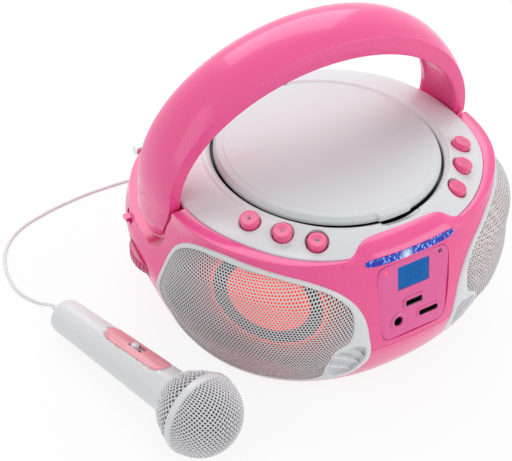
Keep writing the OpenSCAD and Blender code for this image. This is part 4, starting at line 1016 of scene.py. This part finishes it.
def grille_surface(t, v, depth):
    share = np.clip(window_share(t, v), 0, 1)
    lip = pod_lip(v)
    rise = np.sin(np.pi / 2 * np.minimum(1, share / 0.3))
    return skin(np.radians(t), v, lip + np.maximum(0, pod_bulge(v) - lip) * rise - SHEET_SINK - depth)


rise_z = np.linspace(3, 103, 300)
rise_path = grille_surface(np.full(300, POD_MID[0]), rise_z, 0)
rise_length = np.concatenate([[0], np.cumsum(np.linalg.norm(np.diff(rise_path, axis=0), axis=1))])


def grille_point(u, v, depth):
    t = np.degrees(np.interp(u, arc_length, arc_t))
    return grille_surface(t, np.interp(v, rise_length, rise_z), depth)


def speaker_grille(name, side):
    corner = [(PITCH / math.sqrt(3) * math.cos(a), PITCH / math.sqrt(3) * math.sin(a))
              for a in np.radians(np.arange(30, 390, 60))]
    hole = [(HOLE / 2 * math.cos(a), HOLE / 2 * math.sin(a)) for a in np.radians(np.arange(30, 390, 30))]
    plan, index, faces = [], {}, []

    def spot(u, v, depth):
        key = (round(u * 50), round(v * 50), depth)
        if key not in index:
            index[key] = len(plan)
            plan.append((u, v, depth))
        return index[key]

    cells = 0
    for row in range(ROWS):
        v = row * PITCH * math.sqrt(3) / 2
        if v > rise_length[-1] - 2:
            break
        for column in range(COLUMNS):
            u = (column + 0.5 * (row % 2)) * PITCH
            t = math.degrees(float(np.interp(u, arc_length, arc_t)))
            z = float(np.interp(v, rise_length, rise_z))
            if u > arc_length[-1] - 3 or float(window_share(t, z)) < -HIDDEN_EDGE:
                continue
            cells += 1
            for depth in (0.0, SHEET):
                rim = [spot(u + x, v + y, depth) for x, y in corner]
                bore = [spot(u + x, v + y, depth) for x, y in hole]
                for i in range(6):
                    web = (rim[i], rim[(i + 1) % 6], bore[(2 * i + 2) % 12], bore[2 * i + 1], bore[2 * i])
                    faces.append(web if depth == 0 else web[::-1])
                if depth == 0:
                    front = bore
                else:
                    faces += [(front[i], front[(i + 1) % 12], bore[(i + 1) % 12], bore[i])
                              for i in range(12)]
    plan = np.array(plan)
    points = grille_point(plan[:, 0], plan[:, 1], plan[:, 2])
    sheet = shape(name, points, faces)
    sheet.data.transform(Matrix.Diagonal((side, 1, 1, 1)))
    if side < 0:
        sheet.data.flip_normals()
    print(name, cells, "holes,", len(faces), "faces")
    return sheet


for name, side in SIDES:
    sheet = speaker_grille("speaker_sheet_" + name, side)
    finished(sheet, "case", "grille", ["speaker_grille_" + name], 40)

# %% [markdown]
# ## Speakers behind the grilles
# The party lights glow behind the grilles. The middle of the cone shines red-orange, a dark
# band lies round it, then a thin bright ring, and the baffle beyond is lit dimly. These rings
# depend only on the distance from the speaker's axis, which a Mapping node turns into a plain
# length, and a colour ramp names the bands.

# %% Glowing cones and baffles
SPEAKER_TURN, SPEAKER_REACH, SPEAKER_Z = 38.0, 95.0, 58.8


def speaker_place(side):
    place = moved_by(0, PLAN_Y, 0) @ turned_by(-SPEAKER_TURN, "Z") @ moved_by(SPEAKER_REACH, 0, SPEAKER_Z)
    return Matrix.Diagonal((side, 1, 1, 1)) @ place @ turned_by(90, "Y") @ Matrix.Diagonal((side, 1, 1, 1))


LIT_REACH, LIT_CLOUDS = 0.06, 60


def ringed(name, side, stops, strength):
    paint, tree, shader, place = new_paint(name)
    spot = speaker_place(side)
    spot.translation = spot.translation * MM
    back = spot.inverted()
    turn = node_of(tree, "ShaderNodeMapping",
                   {"Location": back.to_translation(), "Rotation": back.to_euler()})
    flat = node_of(tree, "ShaderNodeVectorMath", {1: (1, 1, 0)}, operation="MULTIPLY")
    reach = node_of(tree, "ShaderNodeVectorMath", operation="LENGTH")
    scale = node_of(tree, "ShaderNodeMapRange", {"From Max": LIT_REACH})
    ramp = ramp_of(tree, stops)
    clouds = node_of(tree, "ShaderNodeTexNoise", {"Scale": LIT_CLOUDS})
    uneven = node_of(tree, "ShaderNodeMapRange", {"To Min": 0.7, "To Max": 1.25})
    tint = node_of(tree, "ShaderNodeMix", data_type="RGBA", blend_type="MULTIPLY")
    tint.inputs["Factor"].default_value = 1.0
    link_up(tree, (place, turn.inputs["Vector"]), (turn.outputs["Vector"], flat.inputs[0]),
            (flat.outputs[0], reach.inputs[0]), (reach.outputs["Value"], scale.inputs["Value"]),
            (scale.outputs["Result"], ramp.inputs["Fac"]), (place, clouds.inputs["Vector"]),
            (clouds.outputs["Fac"], uneven.inputs["Value"]), (ramp.outputs["Color"], tint.inputs["A"]),
            (uneven.outputs["Result"], tint.inputs["B"]),
            (tint.outputs["Result"], shader.inputs["Base Color"]),
            (tint.outputs["Result"], shader.inputs["Emission Color"]))
    set_sockets(shader, {"Emission Strength": strength, "Roughness": 0.5})
    return paint


def dressed(node, paint):
    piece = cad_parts[node]
    if not piece.material_slots:
        piece.data.materials.append(paint)
    for slot in piece.material_slots:
        slot.material = paint


red, dark = srgb(255, 72, 52), srgb(20, 8, 10)
CONE = [(0.0, srgb(255, 86, 60)), (0.2, srgb(255, 74, 54)), (0.445, red), (0.46, dark), (0.595, dark),
        (0.61, srgb(255, 58, 46)), (0.632, srgb(240, 50, 42)), (0.64, srgb(150, 30, 28))]
BAFFLE = [(0.0, dark), (0.62, srgb(190, 40, 34)), (0.72, srgb(140, 38, 36)), (0.86, srgb(88, 36, 38)),
          (1.0, srgb(40, 34, 38))]
for name, side in SIDES:
    dressed("speaker_cone_" + name, ringed("cone_glow_" + name, side, CONE, 0.68))
    dressed("speaker_baffle_" + name, ringed("baffle_glow_" + name, side, BAFFLE, 0.5))
print("speakers dressed")

# %% [markdown]
# ## Control panel
# The panel is a separate plate that lies almost flush in the front, with a thin groove all
# round. It carries a small display, a lamp, a remote sensor and three sockets. Each socket has a
# low moulded bezel in the panel's pink. The metal socket is lined with steel, and the others are
# black inside.

# %% Panel plate
def outline_plate(w, h, r):
    points = []
    for cx, cy, start in ((w / 2 - r, h / 2 - r, 0), (r - w / 2, h / 2 - r, 90),
                          (r - w / 2, r - h / 2, 180), (w / 2 - r, r - h / 2, 270)):
        points += [(cx + r * math.cos(a), cy + r * math.sin(a))
                   for a in np.radians(np.linspace(start, start + 90, 6))]
    return points


def plate_at(name, at, size, r, low, high):
    w, h = size
    return prism(name, [(at[0] + x, at[1] + y) for x, y in outline_plate(w, h, r)], low, high)


def round_at(name, at, r, low, high):
    return placed(cylinder(name, r, low, high), moved_by(*at, 0))


def fixed_to_panel(obj, paint, nodes=(), angle=35):
    return finished(placed(obj, on_panel()), "case", paint, nodes, angle)


def softened(obj, width):
    return rounded_off(face_outwards(obj, 0.002), width, 40, 3)


USB_AT, CARD_AT, JACK_AT = (0, -27), (11, -38), (-12, -37.5)
LAMP_AT, SENSOR_AT, WINDOW_AT = (-20.5, 0.5), (20, 1), (0, -7.5)
PANEL_MID, PANEL_SHARE = -21.5, 0.991
plate_line = [(x * PANEL_SHARE, PANEL_MID + (y - PANEL_MID) * PANEL_SHARE) for x, y in PANEL]
panel = softened(prism("panel_plate", plate_line, -2, 0.1), 0.45)
holes = [plate_at("hole", WINDOW_AT, (23.6, 16.6), 0.9, -3, 3),
         plate_at("hole", USB_AT, (13.4, 5.4), 0.8, -3, 3),
         plate_at("hole", CARD_AT, (15.4, 4.8), 1.4, -3, 3), round_at("hole", JACK_AT, 4, -3, 3),
         round_at("hole", LAMP_AT, 1.7, -3, 3), round_at("hole", SENSOR_AT, 1.4, -3, 3)]
carve(panel, join("panel_holes", holes))
PAINT["panel"] = moulded("panel_pink", srgb(228, 84, 154), 0.18, 0.03, 0.02,
                         Coat_Weight=0.4, Coat_Roughness=0.05)
fixed_to_panel(panel, "panel", ["control_panel"], 30)


def bezel(name, at, size, r, grow, high):
    w, h = size
    rim = plate_at(name, at, (w + grow, h + grow), r + grow / 2, -0.3, high)
    return carve(softened(rim, min(0.5, high * 0.8)), plate_at("opening", at, (w, h), r, -4, 4))


rims = [bezel("usb_rim", USB_AT, (12.6, 4.7), 0.5, 3.6, 0.75),
        bezel("card_rim", CARD_AT, (14.4, 3.9), 1.2, 3.4, 0.6)]
jack = lathe("jack_rim", [(3.15, -1.5), (6.1, -0.3), (6.1, 0.1), (5.7, 0.6), (5, 0.95), (4.2, 1.05),
                          (3.5, 0.85), (3.15, 0.4)], 64)
rims.append(placed(jack, moved_by(*JACK_AT, 0)))
fixed_to_panel(join("socket_rims", rims), "panel")


def socket_liner(name, at, size, r, depth):
    w, h = size
    shell = plate_at(name, at, (w + 0.8, h + 0.8), r, -depth - 0.4, 0.2)
    return carve(shell, plate_at("bore", at, (w, h), r, -depth, 3))


usb = socket_liner("usb_liner", USB_AT, (12.4, 4.5), 0.4, 13)
fixed_to_panel(usb, "steel", ["usb_socket"])
tongue_at = (USB_AT[0], USB_AT[1] + 0.9)
usb_tongue = plate_at("usb_tongue", tongue_at, (11.4, 1.6), 0.3, -13, -1.2)
usb_floor = plate_at("usb_floor", USB_AT, (12, 4.2), 0.3, -6.2, -6)
card = socket_liner("card_liner", CARD_AT, (14.2, 3.7), 1, 12)
spring = plate_at("card_spring", (CARD_AT[0], CARD_AT[1] + 0.5), (12, 0.5), 0.2, -11, -1.6)
jack_liner = lathe("jack_liner", [(0, -12), (3.9, -12), (3.9, -0.2), (3.1, -0.2), (3.1, -11), (0, -11)], 48)
placed(jack_liner, moved_by(*JACK_AT, 0))
dark_parts = join("socket_darks", [usb_tongue, usb_floor, card, spring, jack_liner])
fixed_to_panel(dark_parts, "black", ["card_socket", "headphone_jack"])
print("panel and sockets done")

# %% [markdown]
# The display glows deep blue. Its two digits show all seven bars of the liquid crystal, hardly
# darker than the ground, so they are thin bars that lie just over the glass.

# %% Display
def lit_glass(name, colour, strength, uneven):
    paint = moulded(name, colour, 0.12, uneven, 0.01, edge=0)
    tree = paint.node_tree
    shader = tree.nodes["Principled BSDF"]
    tint = [n for n in tree.nodes if n.bl_idname == "ShaderNodeMix"][0]
    tree.links.remove(shader.inputs["Base Color"].links[0])
    tree.links.new(tint.outputs["Result"], shader.inputs["Emission Color"])
    set_sockets(shader, {"Base Color": srgb(4, 14, 30), "Specular IOR Level": 0.12,
                         "Emission Strength": strength})
    return paint


PAINT["display"] = lit_glass("display_blue", srgb(6, 98, 172), 0.95, 0.06)
PAINT["digits"] = lit_glass("display_digits", srgb(6, 78, 146), 0.95, 0.04)
glass = plate_at("display_glass", WINDOW_AT, (24, 17), 0.8, -2.2, -0.55)
fixed_to_panel(glass, "display", ["display_window"])
bars = []


def digit_bar(x, y, size):
    bars.append(plate_at("bar", (x, WINDOW_AT[1] + y), size, 0.2, -0.6, -0.5))


for left in (-4.4, 1.6):
    for y in (4.2, 0, -4.2):
        digit_bar(left + 2, y, (2.8, 0.5))
    for x in (0.2, 3.8):
        for y in (2.1, -2.1):
            digit_bar(left + x, y, (0.5, 3.4))
fixed_to_panel(join("display_bars", bars), "digits")
lamp = lathe("lamp_dome", [(0, -5), (1.6, -5), (1.6, -0.2), (1.45, 0.3), (1.05, 0.7), (0.5, 0.9),
                           (0, 0.92)], 48)
fixed_to_panel(placed(lamp, moved_by(*LAMP_AT, 0)), "lens", ["power_lamp"], 60)
eye = lathe("sensor_dome", [(0, -5), (1.3, -5), (1.3, -0.3), (1.1, 0), (0.6, 0.25), (0, 0.3)], 48)
fixed_to_panel(placed(eye, moved_by(*SENSOR_AT, 0)), "dark_lens", ["remote_sensor"], 60)
print("display bars:", len(bars))

# %% [markdown]
# ## Carry handle
# The handle is one wide strap that arches over the lid, hollow underneath, and goes down on both
# sides into rounded tongues that turn on pins. Its section is lofted along the arch. The wide
# outer face is crowned, and one crisp crease parts it from the narrow front face. Every other
# corner is rounded.

# %% Handle
ARM_IN, ARCH_BASE = 106.0, 104.0
STRAP_IN, STRAP_FRONT, STRAP_DEPTH = 70, -8.8, 40.3
CREASE = (114, 83, STRAP_FRONT)
CROWN = smoothed([CREASE, (116.9, 89.3, 0), (118, 93, 12), (117.2, 91.2, 23),
                  (115.2, 86, 31.5)], 6)
CREASE_R, REAR_R, INNER_R = 0.5, 2.4, 1.2


def rounded_corner(p, before, after, r, steps=4):
    p, before, after = np.array(p, float), np.array(before, float), np.array(after, float)
    a = p + (before - p) * min(1, r / np.linalg.norm(before - p))
    b = p + (after - p) * min(1, r / np.linalg.norm(after - p))
    return [a * (1 - u) ** 2 + 2 * p * u * (1 - u) + b * u ** 2 for u in np.linspace(0, 1, steps)]


def strap_section(t):
    h = 0.4 + 2.4 * min(1, 1.6 * math.sin(t))
    front_in, rear_in = (ARM_IN, STRAP_IN, -8.2), (107, 72, 31.5)
    hollow_front, hollow_rear = (ARM_IN, STRAP_IN, -5.8), (ARM_IN, STRAP_IN, 26)
    section = rounded_corner(front_in, hollow_front, CREASE, INNER_R)
    section += rounded_corner(CREASE, front_in, CROWN[1], CREASE_R)
    section += [tuple(p) for p in CROWN[2:-2]]
    section += rounded_corner(CROWN[-1], CROWN[-3], rear_in, REAR_R, 5)
    section += rounded_corner(rear_in, CROWN[-1], hollow_rear, INNER_R)
    section.append(hollow_rear)
    for share, y in ((0.3, 25.4), (1, 24), (1, -4.5), (0.3, -5.3)):
        section.append((ARM_IN + share * h, STRAP_IN + share * h, y))
    section.append(hollow_front)
    return np.array([tuple(p) for p in section])


tongue = smoothed([(69, 14, 21), (69.35, 11.8, 23.4), (70.2, 9.5, 25.4), (73, 6, 28.8), (77, 3, 30.8),
                   (82, 0.4, 31.8), (88, -2.6, 32), (96, -6, 32), (104, -8.8, 31.5)], 3)[:-1]
foot_section = strap_section(0)


def tongue_ring(row, side):
    z, y0, y1 = row
    near = 0.6 + 0.4 * min(1, (z - 66) / 16)
    share = (foot_section[:, 2] - STRAP_FRONT) / STRAP_DEPTH
    return np.stack([side * (ARM_IN + (foot_section[:, 0] - ARM_IN) * near), y0 + (y1 - y0) * share,
                     np.full(len(share), z)], axis=-1)


rings = [tongue_ring(row, 1) for row in tongue]
for t in np.radians(np.linspace(180, 0, 161)):
    e = strap_section(t)
    rings.append(np.stack([-e[:, 0] * math.cos(t), e[:, 2], ARCH_BASE + e[:, 1] * math.sin(t)], axis=-1))
rings += [tongue_ring(row, -1) for row in tongue[::-1]]
handle = loft("handle_strap", rings)
finished(handle, "carry_handle", "pink_shell", ["handle"], 30)
print("handle:", len(handle.data.polygons), "faces")

# %% [markdown]
# ## Microphone
# The microphone lies on the floor with its switch up. Its head is a ball of painted woven wire
# round grey foam, with a white ring where the two halves of the ball meet. The wires are real:
# each is a thin tube that goes over and under the wires it crosses. Seen from its pole, the
# front half is a plain square weave, bent over the ball.

# %% Woven head
MIC_ROLL = 163
WIRE_SIDES = 5
WIRE, REAR_WIRE, WEAVE = 0.44, 0.4, 2.15
WAVE, REAR_WAVE, REAR_COUNT = 0.36, 0.3, 42
BALL_R = 25.15
REACH = BALL_R * math.acos(1.2 / BALL_R)
DIAGONAL = 0.7071


def on_mic():
    head = moved_by(*HEAD_AT.tolist()) @ turned_by(math.degrees(MIC_HEADING), "Z")
    lying = turned_by(90 - math.degrees(MIC_RISE), "Y") @ turned_by(MIC_ROLL, "Z")
    return head @ lying @ moved_by(0, 0, -MIC_LENGTH)


def fixed_to_mic(obj, body, paint, nodes, angle):
    return finished(placed(obj, on_mic()), body, paint, nodes, angle)


def wires(name, ways, radius):
    verts, faces = [], []
    for points, outward in ways:
        points, outward = np.asarray(points, float), np.asarray(outward, float)
        along = np.gradient(points, axis=0)
        along /= np.linalg.norm(along, axis=1)[:, None]
        across = np.cross(along, outward)
        across /= np.linalg.norm(across, axis=1)[:, None]
        up = np.cross(across, along)
        base = len(verts)
        for p, a, u in zip(points, across, up):
            verts += [p + radius * (a * math.cos(q) + u * math.sin(q))
                      for q in np.arange(WIRE_SIDES) * 2 * math.pi / WIRE_SIDES]
        faces += [tuple(base + i for i in face) for face in ring_faces(len(points), WIRE_SIDES, False)]
    return face_outwards(shape(name, verts, faces))


def ball_point(p, q, lift):
    reach = math.hypot(p, q)
    polar, turn = reach / BALL_R, math.atan2(q, p)
    way = np.array([math.sin(polar) * math.cos(turn), math.sin(polar) * math.sin(turn), math.cos(polar)])
    return way * (BALL_R + lift) + (0, 0, MIC_LENGTH), way


front_wires = []
for family in (0, 1):
    for k in range(-18, 19):
        offset = (k + 0.5) * WEAVE
        if abs(offset) > REACH - 2:
            continue
        half = math.sqrt(REACH ** 2 - offset ** 2)
        third = WEAVE / 3
        steps = np.arange(math.ceil(-half / third), math.floor(half / third) + 1) * third
        points, outward = [], []
        for s in steps:
            lift = WAVE * math.cos(math.pi * (s / WEAVE + 0.5)) * (1 if (k + family) % 2 else -1)
            p, q = (s, offset) if family == 0 else (offset, s)
            at, way = ball_point(p * DIAGONAL - q * DIAGONAL, p * DIAGONAL + q * DIAGONAL, lift)
            points.append(at)
            outward.append(way)
        if len(points) > 3:
            front_wires.append((points, outward))
ball = wires("head_mesh_front", front_wires, WIRE)
fixed_to_mic(ball, "case", "mesh", ["mic_mesh_front"], 60)

rear_side = smoothed([(15.2, 110.3), (17.5, 113.0), (20.3, 117.3), (22.6, 121.8), (24.1, 126),
                      (24.7, 131)], 5)
rear_wires = []
for way_round in (1, -1):
    for k in range(REAR_COUNT):
        points, outward = [], []
        travelled = 0
        for i, (r, z) in enumerate(rear_side):
            if i:
                travelled += np.hypot(*(rear_side[i] - rear_side[i - 1])) / r
            turn = 2 * math.pi * (k + 0.5) / REAR_COUNT + way_round * travelled
            lift = REAR_WAVE * math.cos(math.pi * i / 2.2 + math.pi * k) * way_round
            slope = rear_side[min(i + 1, len(rear_side) - 1)] - rear_side[max(i - 1, 0)]
            normal = np.array([slope[1] * math.cos(turn), slope[1] * math.sin(turn), -slope[0]])
            normal /= np.linalg.norm(normal)
            points.append(np.array([r * math.cos(turn), r * math.sin(turn), z]) + normal * (lift - 0.1))
            outward.append(normal)
        rear_wires.append((points, outward))
cone = wires("head_mesh_rear", rear_wires, REAR_WIRE)
fixed_to_mic(cone, "case", "mesh", ["mic_mesh_rear"], 60)
print("wires:", len(front_wires), "in front,", len(rear_wires), "behind")

# %% [markdown]
# The grey foam behind the wires and the white ring are turned with the spin operator. The body,
# the rose switch plate and the strain relief are the drawing's own solids with their flat facets
# melted together. The switch is a small round knob over a dark slot.

# %% Microphone body
foam = lathe("head_foam", [(0, 111), (14, 111.3), (17.2, 115), (20.5, 121), (22.6, 126.5), (23.6, 132),
                           (23, 138), (21, 143.6), (17.6, 148.6), (13, 152.4), (7, 154.8), (0, 155.6)], 64)
fixed_to_mic(foam, "case", "foam", ["mic_foam"], 60)
ring = lathe("head_ring", [(23.8, 129.8), (25.2, 129.4), (26.1, 129.8), (26.4, 130.6), (26.4, 133.2),
                           (26.1, 134), (25.3, 134.5), (24.4, 134.4), (23.8, 133.8)], 128)
fixed_to_mic(ring, "case", "white", ["mic_ring"], 40)


def copied(node, body, paint, angle=32, melt=1.5):
    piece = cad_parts[node].copy()
    piece.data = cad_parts[node].data.copy()
    piece.name = node + "_dressed"
    piece.parent = None
    bpy.context.collection.objects.link(piece)
    work = bmesh.new()
    work.from_mesh(piece.data)
    bmesh.ops.remove_doubles(work, verts=work.verts, dist=2e-6)
    bmesh.ops.dissolve_limit(work, angle_limit=math.radians(melt), verts=work.verts, edges=work.edges,
                             use_dissolve_boundaries=False)
    bmesh.ops.recalc_face_normals(work, faces=work.faces)
    work.to_mesh(piece.data)
    work.free()
    return finished(piece, body, paint, [node], angle)


copied("mic_handle", "case", "white", 40, 0.2)
copied("mic_plate", "case", "salmon", 40, 0.2)
copied("mic_relief", "case", "white", 40)
PLATE_MID, SLIDE = 73.0, 5.0
knob = lathe("knob", [(0, -2.6), (2.65, -2.6), (2.65, 0.5), (2.5, 1.1), (2.0, 1.55), (1.2, 1.8),
                      (0, 1.9)], 48)
placed(knob, moved_by(13.1, 0, PLATE_MID - SLIDE / 2) @ turned_by(90, "Y"))
fixed_to_mic(knob, "mic_slide", "white", ["mic_switch"], 40)
slot_floor = block("switch_slot_floor", (9.6, -2.6, PLATE_MID - 5.9), (9.9, 2.6, PLATE_MID + 5.9))
fixed_to_mic(slot_floor, "case", "black", [], 40)
print("microphone done")

# %% [markdown]
# ## The remaining pieces
# Everything else is right as drawn: the antenna, the wheel, the sockets behind, the disc's
# mechanism, the feet and the door underneath. A copy of each takes its node's place, with the
# facets of its curved faces smoothed and its own finish, so that no surface is left plain.

# %% Finishes for the drawing's own nodes
SMALL = {
    "handle_pins": ("carry_handle", "magenta", "magenta_plastic"),
    "volume_wheel": ("volume", "magenta", "magenta_plastic"),
    "source_switch": ("source", "pink_shell", "pink_shell"),
    "battery_door": ("battery_hatch", "pink_shell", "pink_shell"),
    "antenna_foot": ("case", "black", "black_plastic"),
    "antenna_tube": ("antenna_outer", "chrome", "chrome"),
    "antenna_middle": ("antenna_inner", "chrome", "chrome"),
    "antenna_tip": ("antenna_end", "chrome", "chrome"),
    "mic_jack": ("case", "black", "black_plastic"),
    "mains_inlet": ("case", "black", "black_plastic"),
    "mic_plug": ("case", "black", "black_plastic"),
    "cord_tie": ("case", "cord", "white_cord"),
    "disc_well": ("case", "black", "black_plastic"),
    "disc_clamp": ("clamp", "black", "black_plastic"),
    "spindle": ("turntable", "steel", "steel"),
    "spindle_motor": ("case", "steel", "steel"),
    "sled_rails": ("case", "steel", "steel"),
    "lid_pin": ("case", "steel", "steel"),
    "pickup_sled": ("sled", "black", "black_plastic"),
    "feet": ("case", "rubber", "rubber"),
    "case_screws": ("case", "steel", "steel"),
    "main_board": ("case", "board", "green_board")}
for node, (body, paint, slot) in SMALL.items():
    copied(node, body, paint)
print("copies:", len(SMALL))

# %% Clear the selection
bpy.ops.object.select_all(action="DESELECT")
